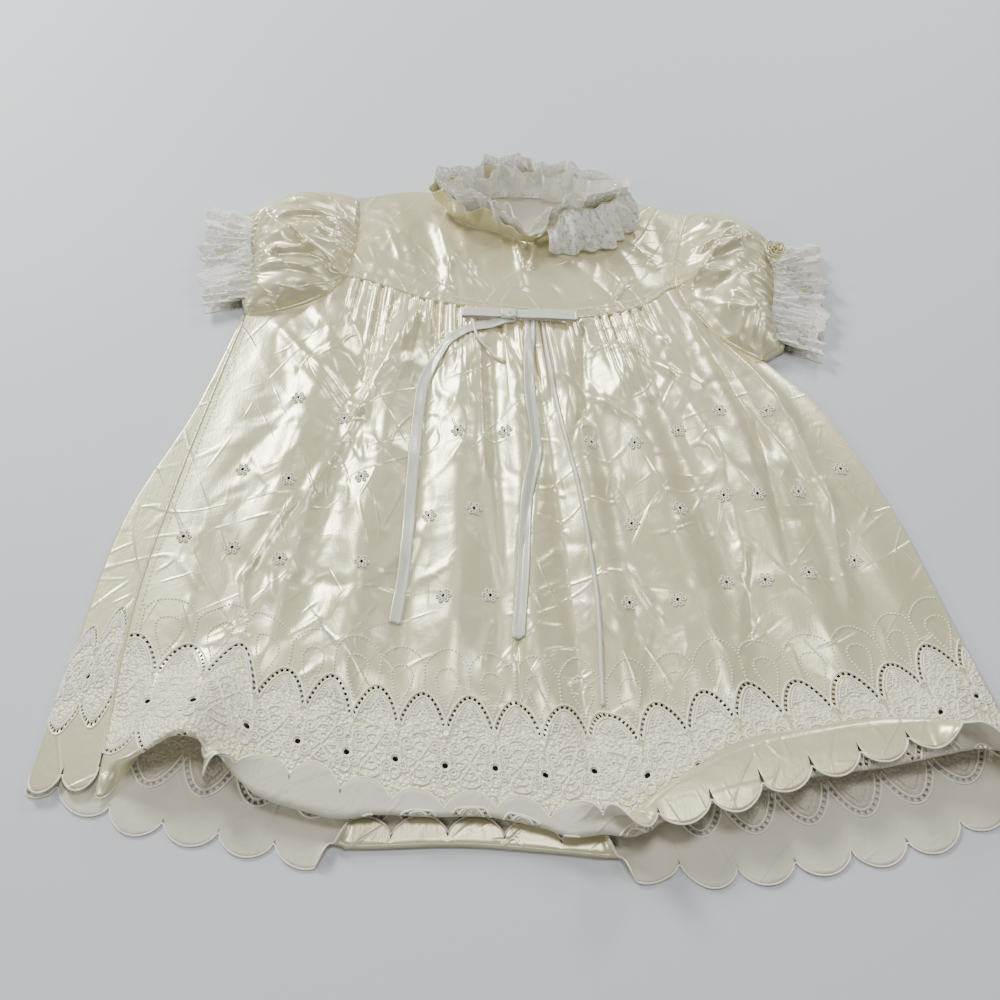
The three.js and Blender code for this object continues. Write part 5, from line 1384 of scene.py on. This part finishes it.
def fallen_lace(a, e):
    """The neck lace on the right: it comes over the frill's rim and falls onto the yoke."""
    angle = mix(FALLEN["from"], FALLEN["to"], a)
    rim = frill_surface((angle + 180) / 360, np.full_like(a, 0.96))
    x, y, ox, oy = neck_place(angle, 0)
    ragged = 1 + 0.10 * np.sin(23 * a) + 0.07 * np.sin(57 * a + 1)
    reach = FALLEN["out"] * ragged * (0.35 + 0.65 * np.sin(math.pi * a) ** 0.6)
    end_x, end_y = x + ox * reach, y + oy * reach + FALLEN["drift"]
    end_z = np.array([max(drop(yoke_tree, px, py), 1.6) for px, py in zip(end_x.ravel(), end_y.ravel())])
    end_z = end_z.reshape(x.shape) + 1.5
    swing = 2 * math.pi * (FALLEN["waves"] * a + 0.5 * np.sin(9 * a))
    ruffle = FALLEN["ruffle"] * (np.sin(swing) + 0.4 * np.sin(2.7 * swing + 1)) * np.sin(math.pi * e * 0.85)
    over = 4 * e * (1 - e)
    px = mix(rim[..., 0], end_x, e) + ox * (2.0 * over + 0.6 * ruffle)
    py = mix(rim[..., 1], end_y, e) + oy * (2.0 * over + 0.6 * ruffle)
    pz = mix(rim[..., 2], end_z, e) + FALLEN["rise"] * over + 0.8 * np.maximum(ruffle, -1.2 * over)
    return np.stack([px, py, pz], axis=-1)


a, e = np.meshgrid(np.arange(360) / 360, np.linspace(0, 1, 20))
neck_frill = sheet("neck-frill", frill_surface(a, e), [SATIN], ring=True)
dress(neck_frill, "satin", "neck_frill")
outer = neck_surface(inset=3.0, length=22, wave=2.6, slack=0, phase=0.35)
inner = neck_surface(inset=7.0, length=18, wave=3.0, slack=6, phase=0.7)
lace_frill("neck-lace", outer, width=430, depth=22, turns=165, rows=11, loops=42, nodes=["neck_lace"])
lace_frill("neck-lace-inner", inner, width=430, depth=18, turns=150, rows=9, loops=38)
lace_frill("neck-lace-fallen", fallen_lace, width=200, depth=24, turns=80, rows=10, loops=18)

# %% [markdown]
# The ribbons. Narrow satin ribbon is tied in a flat bow under the yoke, and its ends lie on
# the skirt. Each end's line was read off the gown, and rays cast down onto the dressed skirt
# keep it just above the folds.

# %% Ribbons on the skirt
RIBBON_WIDTH = 6.4
RIBBON_THICK = 0.28
ROUTES = {
    "ribbon_left": (5.6, [(-6, 91), (-20, 86), (-35.9, 79.5), (-44.9, 69.6), (-53.9, 48.3), (-56, 31),
                          (-58.1, -20.8), (-59.5, -68.1), (-62.7, -101)]),
    "ribbon_centre": (5.6, [(2.6, 91), (1.9, 39.9), (5, 3.9), (3.6, -8), (-0.6, -32.4), (-2.6, -73.2),
                            (-5.3, -108.9)]),
    "ribbon_rolled": (2.0, [(9.5, 91), (12, 62.4), (17.5, 20.3), (25.4, -24.5), (29.8, -64.1),
                            (32, -90.2), (32.2, -143.7)]),
    "ribbon_short": (1.8, [(-29, 89), (-25.5, 74.5), (-19.5, 67), (-11.3, 58)]),
}


def smooth_route(route, step):
    knots = np.array(route, float)
    lengths = np.concatenate([[0], np.cumsum(np.hypot(*np.diff(knots, axis=0).T))])
    tab = {"s": lengths, "x": knots[:, 0], "y": knots[:, 1]}
    s = np.linspace(0, lengths[-1], int(lengths[-1] / step) + 1)
    return read_table(tab, "x", "s", s), read_table(tab, "y", "s", s)


def relax(values, reach):
    """The highest nearby value, then a running mean, so that a ribbon bridges small dips."""
    padded = np.pad(values, ((reach, reach), (0, 0)), mode="edge")
    high = np.max([padded[k:k + len(values)] for k in range(2 * reach + 1)], axis=0)
    padded = np.pad(high, ((reach, reach), (0, 0)), mode="edge")
    return np.mean([padded[k:k + len(values)] for k in range(2 * reach + 1)], axis=0)


skirt_tree = tree_of(front_skirt, front_yoke)
for name, (width, route) in ROUTES.items():
    x, y = smooth_route(route, 1.5)
    dx, dy = np.gradient(x), np.gradient(y)
    size = np.hypot(dx, dy)
    across = np.linspace(-0.5, 0.5, 7) * width
    px = x[:, None] + (dy / size)[:, None] * across
    py = y[:, None] - (dx / size)[:, None] * across
    ground = np.array([[drop(skirt_tree, a, b) for a, b in zip(*row)] for row in zip(px, py)])
    curl = 0.25 * (np.abs(across) / width * 2) ** 2 if width > 3 else 0.9 * (1 - (across / width * 2) ** 2)
    pz = relax(ground, 2) + SATIN_THICK / 2 + RIBBON_THICK + curl[None, :]
    points = np.stack([px, py, pz], axis=-1)
    piece = sheet(name.replace("_", "-"), points[::-1], [RIBBON], thick=RIBBON_THICK)
    dress(piece, "ribbon", name)

# %% The bow
BOW = {"x": -9, "y": 92.5, "slant": -0.05, "height": 1.7, "knot": 9}
seam_tree = solid_tree("front_yoke", "front_skirt")
for name, reach in {"bow_left_loop": -25, "bow_right_loop": 37}.items():
    sign = math.copysign(1, reach)
    start_x = BOW["x"] + sign * (BOW["knot"] / 2 - 1.2)
    end_x = BOW["x"] + reach
    line = np.linspace(start_x, end_x, 26)
    rest = max(highest_near(seam_tree, a, BOW["y"] + (a - BOW["x"]) * BOW["slant"], RIBBON_WIDTH * 0.8)
               for a in np.linspace(BOW["x"], end_x, 5)) + 0.8
    low = np.stack([line, np.full(26, rest)], axis=-1)
    angle = np.linspace(-math.pi / 2, math.pi / 2, 9)[1:-1]
    nose = np.stack([end_x + sign * 1.0 * np.cos(angle), rest + 1.1 + 1.1 * np.sin(angle)], axis=-1)
    top = np.stack([line[::-1], rest + BOW["height"] + 0.35 * np.sin(np.linspace(0, 4, 26))], axis=-1)
    path = np.concatenate([low, nose, top])
    pinch = 1 - 0.3 * np.exp(-np.abs(path[:, 0] - start_x) / 3.0)
    across = np.linspace(-0.5, 0.5, 8) * RIBBON_WIDTH
    px = np.tile(path[:, :1], (1, 8))
    py = BOW["y"] + (px - BOW["x"]) * BOW["slant"] + across[None, :] * pinch[:, None]
    pz = np.tile(path[:, 1:], (1, 8))
    points = np.stack([px, py, pz], axis=-1)
    piece = sheet(name.replace("_", "-"), points if sign > 0 else points[::-1], [RIBBON], thick=RIBBON_THICK)
    dress(piece, "ribbon", name)
    if sign > 0:
        bow_rest = rest

angle, across = np.meshgrid(np.linspace(0, 2 * math.pi, 40, endpoint=False), np.linspace(-1, 1, 14))
tuck = 0.25 * np.sin(angle * 5 + across * 3) + 0.2 * np.sin(across * 9 + angle)
knot_x = BOW["x"] + across * BOW["knot"] / 2 * (1 - 0.08 * np.cos(angle) ** 2)
knot_y = BOW["y"] + (RIBBON_WIDTH / 2 + 0.4) * np.cos(angle) * (0.88 + 0.1 * np.cos(across * 2)) + 0.2 * tuck
knot_z = bow_rest + 1.3 + (1.9 + tuck) * np.sin(angle) * (0.9 - 0.25 * across ** 2)
knot = sheet("bow-knot", np.stack([knot_x, knot_y, knot_z], axis=-1), [RIBBON], ring=True,
             thick=RIBBON_THICK, shift=0.0)
dress(knot, "ribbon", "bow_knot")

# %% [markdown]
# The rosette on the right cuff is a strip of satin gathered along one edge and wound round
# itself, so its free edge stands up in a ruffled spiral.

# %% Rosette
ROSETTE = {"x": 141, "y": 131, "radius": 7, "height": 5}
cuff_tree = solid_tree("right_sleeve", "right_cuff_lace")
rosette_rest = highest_near(cuff_tree, ROSETTE["x"], ROSETTE["y"], ROSETTE["radius"]) + 0.3
TURNS = 3.4
s, e = np.meshgrid(np.linspace(0, 1, 300), np.linspace(0, 1, 9))
angle = s * TURNS * 2 * math.pi
radius = mix(0.6, ROSETTE["radius"] - 1.7, s) + e ** 1.5 * mix(0.5, 1.6, s)
radius = radius + 0.45 * e * np.sin(angle * 4.3)
z = rosette_rest + e * mix(4.6, 3.0, s) + 0.35 * e * np.sin(angle * 5.1 + 1)
points = np.stack([ROSETTE["x"] + radius * np.cos(angle), ROSETTE["y"] + radius * np.sin(angle), z], axis=-1)
rosette = sheet("right-cuff-rosette", points, [SATIN], thick=0.4)
dress(rosette, "satin", "right_cuff_rosette")

# %% [markdown]
# Embroidery. Raised satin stitch outlines the arches, the petals and the eyelets of the
# border, and small flowers are scattered over the skirt. Each outline is drawn in the
# pattern's millimetres, then carried onto the cloth a little above its face. Where the hem is
# turned, the thinner backs of the stitches show on the matt side.

# %% Motifs of one scallop, in mm across and pattern height
def ring_line(x, p, rx, rp, count=14):
    angle = np.linspace(0, 2 * math.pi, count)
    return x + rx * np.sin(angle), p + rp * np.cos(angle)


def drop_line(x, p, length, width, heading, count=14):
    """A teardrop that starts at a point and grows in the direction of heading."""
    angle = np.linspace(0, 2 * math.pi, count)
    along = length * (1 - np.cos(angle)) / 2
    side = width / 2 * np.sin(angle) * (1 - np.cos(angle)) / 1.3
    return (x + along * math.sin(heading) + side * math.cos(heading),
            p + along * math.cos(heading) - side * math.sin(heading))


def beside(x, p, gap):
    """The line at a fixed distance from a line, above it where gap is positive."""
    dx, dp = np.gradient(x), np.gradient(p)
    size = np.hypot(dx, dp)
    return x - gap * dp / size, p + gap * dx / size


def arch_line(arch, gap, trim, count=26):
    x = np.linspace(trim, PITCH - trim, count)
    return beside(x, arch_height(arch, x), gap)


CORDS = [arch_line(arch, gap, 0.45) for arch in (LOW_ARCH, HIGH_ARCH) for gap in (-1.3, 1.3)]
CORDS.append(ring_line(0, EYELET_P, 2.5, 2.5, 13))


def border_motif():
    middle = PITCH / 2
    lines = [arch_line(HIGH_ARCH, -gap, trim, 20) for gap, trim in ((2.6, 1.6), (5.4, 3.2), (7.2, 4.4))]
    lines += [arch_line(LOW_ARCH, 2.4, 1.4, 20), arch_line(LOW_ARCH, 4.4, 2.6, 16)]
    bars = zip(*arch_line(HIGH_ARCH, -3.2, 2.6, 19)), zip(*arch_line(HIGH_ARCH, -4.8, 3.2, 19))
    lines += [(np.array([a[0], b[0]]), np.array([a[1], b[1]])) for a, b in zip(*bars)]
    for size in (1.0, 0.66, 0.34):
        lines.append(drop_line(middle, EYELET_P + 2.0, 12.5 * size, 9.5 * size, 0))
        lines.append(drop_line(middle, EYELET_P + 0.5, 10.5 * size, 9.0 * size, math.pi))
    for side in (-1, 1):
        lines.append(drop_line(middle + side * 1.5, EYELET_P + 1.2, 5.6, 4.4, side * 1.9, 10))
        for x, p, r in ((6.6, 8.4, 2.9), (7.4, -3.2, 2.5), (8.4, 3.4, 1.7)):
            lines.append(ring_line(middle + side * x, EYELET_P + p, r, r, 13))
            lines.append(ring_line(middle + side * x, EYELET_P + p, 0.5 * r, 0.5 * r, 8))
    lines.append(ring_line(0, EYELET_P + 6.0, 1.9, 2.6, 10))
    lines.append(ring_line(0, EYELET_P - 6.4, 2.2, 2.6, 10))
    return lines


def faint_motif():
    over = np.linspace(0, 1, 12)
    bend = 99 + 8.5 * np.sin(math.pi * over) ** 0.7
    lines = [(np.full(8, PITCH / 2), np.linspace(86, 99, 8)), (PITCH / 2 + PITCH * over, bend)]
    lines.append(drop_line(PITCH, 76, 22, 11, 0, 18))
    return lines


# %% Carry the motifs onto the cloth
LIFT = SATIN_THICK / 2 + 0.12


def raised(cloth, along, s, step, lift=LIFT):
    """Points of a cloth, lifted off whichever face is up, and the height of its normal."""
    here, right, up = cloth(np.stack([along, along + step, along]), np.stack([s, s, s + 0.3]))
    normal = np.cross(right - here, up - here)
    normal /= np.maximum(np.linalg.norm(normal, axis=-1, keepdims=True), 1e-9)
    face = np.where(normal[..., 2:] < 0, -1.0, 1.0)
    return here + normal * face * lift, normal[..., 2]


def on_front(x, p):
    u = front_share(x)
    points, facing = raised(front_cloth, u, cloth_length(u, p), 0.0006)
    return points, facing, (u > 0.001) & (u < 0.999)


def on_back(x, p):
    c = x / PITCH
    points, facing = raised(back_cloth, c, back_length(c, p), 0.01)
    return points, -facing, (c > -BACK_STRIP + 0.05) & (c < BACK_SCALLOPS + 0.4)


def carry(lines, place, scallops, side="right"):
    """Lines of the pattern on the cloth, where its right side, its wrong side or either is up."""
    carried = []
    for k in scallops:
        points, facing, shown = place(np.concatenate([x for x, _ in lines]) + k * PITCH,
                                      np.concatenate([p for _, p in lines]))
        shown &= {"right": facing, "wrong": -facing, "either": np.abs(facing)}[side] > 0.15
        first = 0
        for size in (len(x) for x, _ in lines):
            seen = np.concatenate([[0], shown[first:first + size].astype(int), [0]])
            turns = np.flatnonzero(np.diff(seen))
            carried += [points[first + a:first + b] for a, b in zip(turns[::2], turns[1::2]) if b - a > 1]
            first += size
    return carried


cord_lines = carry(CORDS, on_front, range(SCALLOPS + 1), "either")
cord_lines += carry(CORDS[:2], on_back, range(BACK_SCALLOPS + 1), "either")
cords = thread("cords-of-the-holes", cord_lines, 0.52)
dress(cords, "satin")
motif_lines = carry(border_motif(), on_front, range(SCALLOPS + 1))
motif_lines += carry(border_motif() + CORDS, on_back, range(-int(BACK_STRIP), 1))
embroidery = thread("border-embroidery", motif_lines, 0.44)
dress(embroidery, "satin")
inside_lines = carry(border_motif(), on_front, range(SCALLOPS + 1), "wrong")
inside_lines += carry(border_motif(), on_back, range(BACK_SCALLOPS + 1), "wrong")
inside = thread("embroidery-from-inside", inside_lines, 0.34, WRONG, 3)
dress(inside, "satin")
faint_lines = carry(faint_motif(), on_front, range(-1, SCALLOPS + 1))
faint = stitches("faint-arches", faint_lines, pitch=1.7, length=0.62, radius=0.5)
dress(faint, "satin")

# %% Scattered flowers
FLOWER = {"eye": 1.3, "reach": 2.7, "petal": 0.9, "petals": 6, "thread": 0.38}
flower_lines = []
petal = np.linspace(0, 2 * math.pi, 9)
for fx, fy in flower_middles:
    spots = [(fx + FLOWER["eye"] * np.cos(petal), fy + FLOWER["eye"] * np.sin(petal))]
    for k in range(FLOWER["petals"]):
        a = 2 * math.pi * k / FLOWER["petals"]
        px, py = fx + FLOWER["reach"] * math.cos(a), fy + FLOWER["reach"] * math.sin(a)
        spots.append((px + FLOWER["petal"] * np.cos(petal), py + FLOWER["petal"] * np.sin(petal)))
    for x, y in spots:
        z = [drop(skirt_tree, a, b) + LIFT for a, b in zip(x, y)]
        flower_lines.append(np.stack([x, y, z], axis=-1))
flowers = thread("scattered-flowers", flower_lines, FLOWER["thread"])
dress(flowers, "satin")

# %% [markdown]
# Seams and edges. The scalloped edge is bound in close satin stitch, the seams are
# topstitched, and the armholes have a fine cord where the gathers are sewn in.

# %% Edges and seams
edge_u = np.linspace(0, 1, SCALLOPS * 24 + 1)
front_line = front_cloth(edge_u, front_edge(edge_u))
edge_c = np.linspace(-BACK_STRIP, 18.45, 20 * 24 + 1)
back_edge = back_cloth(edge_c, back_scallop_edge(edge_c))
bound = thread("scallop-binding", [front_line, back_edge], 0.42, THREAD, 6)
dress(bound, "satin")

SEAM_POINTS = 120
ARM_POINTS = 80
seam_v = np.linspace(0.02, 0.99, SEAM_POINTS)


def on_panel(u, v):
    x, y = panel_plan(u, v, FRONT_HEM, LEFT_SEAM)
    return np.stack([x, y, skirt_height(u, v, x, y) + LIFT], axis=-1)


side_line = on_panel(np.zeros(SEAM_POINTS), seam_v)
side_seam = thread("side-seam-cord", [side_line + np.array([-0.4, 0, -0.35])], 0.8, SATIN, 8)
dress(side_seam, "satin")
yoke_t = np.linspace(0.01, 0.99, 160)
seam_rows = [side_line + np.array([3.2, 0, 0.3])]
for level in (0.012, 0.058):
    x, y = yoke_plan(FRONT_NECK, yoke_t, np.full(160, level))
    z = yoke_height(yoke_t, np.full(160, level), x, y) + LIFT
    seam_rows.append(np.stack([x, y, z], axis=-1))
topstitch = stitches("topstitching", seam_rows)
dress(topstitch, "satin")
arm_cords = []
for side, sleeve in SLEEVES.items():
    w = np.linspace(0.01, 0.99, ARM_POINTS)
    x, y = sleeve_plan(sleeve, w, np.full(ARM_POINTS, -0.012))
    z = [max(drop(skirt_tree, a - 1.2, b), drop(skirt_tree, a + 1.2, b), 3.0) + 0.2 for a, b in zip(x, y)]
    level = np.convolve(np.pad(z, 3, mode="edge"), np.ones(7) / 7, "valid")
    arm_cords.append(np.stack([x, y, level], axis=-1))
armholes = thread("armhole-seams", arm_cords, 1.0, SATIN, 8)
dress(armholes, "satin")

# %% [markdown]
# Each gathered strip prints how long it was cut, in metres, before it was sewn. A gathered piece
# was cut wider than it lies now. The back skirt, yokes and sleeves are as large as their solids.
# The lengths of the cuff frills and the lace are worked out from their own surfaces and widths.

# %% How the cloth was cut
for strip, depth, sewn_on in strip_cuts:
    layers = 2 if strip.data.materials[0] == SATIN else 1
    area = sum(p.area for p in strip.data.polygons) / layers
    length = round(area / (depth * MM), 3)
    print(strip.name, "was cut", length, "m long")
    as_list(sewn_on)

# %% [markdown]
# Floor, light and camera. The floor is plain and pale. The strongest light is behind the gown on
# the left, and glances off the satin towards the camera, as a window would. Weaker ones from the
# other sides and above soften its shadows.

# %% Floor
floor_mesh = bpy.data.meshes.new("floor")
FLOOR = 3.0
floor_mesh.from_pydata([(-FLOOR, -FLOOR, 0), (FLOOR, -FLOOR, 0), (FLOOR, FLOOR, 0), (-FLOOR, FLOOR, 0)],
                       [], [(0, 1, 2, 3)])
floor_material, tree = new_material("pale matt table")
finish_material(tree, add_node(tree, "ShaderNodeBsdfPrincipled", {
    "Base Color": linear("#c9cccf"), "Roughness": 0.6,
}))
floor = new_object("floor", floor_mesh, [floor_material])


# %% Lights and camera
def area_light(name, place, aim, size, watts, colour="#ffffff"):
    light = bpy.data.lights.new(name, "AREA")
    light.shape = "DISK"
    light.size = size
    light.energy = watts
    light.color = linear(colour)[:3]
    holder = bpy.data.objects.new(name, light)
    holder.location = place
    holder.rotation_euler = (Vector(aim) - Vector(place)).to_track_quat("-Z", "Y").to_euler()
    bpy.context.scene.collection.objects.link(holder)


LIGHTS = [                  # name, place, size and power
    ("window", (-0.80, 1.05, 0.80), 0.42, 25), ("back", (0.60, 1.30, 0.75), 0.30, 9),
    ("overhead", (0.10, 0.20, 1.60), 0.50, 10), ("left", (-1.30, -0.15, 0.60), 0.30, 6),
    ("right", (1.25, 0.15, 0.95), 0.35, 5), ("front", (-0.30, -1.35, 1.00), 0.60, 4),
]
for light_name, place, size, watts in LIGHTS:
    area_light(light_name, place, (0, 0, 0), size, watts)
world = bpy.data.worlds.new("room")
world.use_nodes = True
world.node_tree.nodes["Background"].inputs["Color"].default_value = linear("#dfe3e8")
world.node_tree.nodes["Background"].inputs["Strength"].default_value = 0.13
bpy.context.scene.world = world

CAMERA_PLACE = (-0.0149, -0.3783, 0.515)
CAMERA_PITCH = 55.0         # degrees down from level
lens = bpy.data.cameras.new("camera")
lens.lens = 45
lens.sensor_width = 36
camera = bpy.data.objects.new("camera", lens)
camera.location = CAMERA_PLACE
camera.rotation_euler = (math.radians(90 - CAMERA_PITCH), 0, 0)
bpy.context.scene.collection.objects.link(camera)
bpy.context.scene.camera = camera
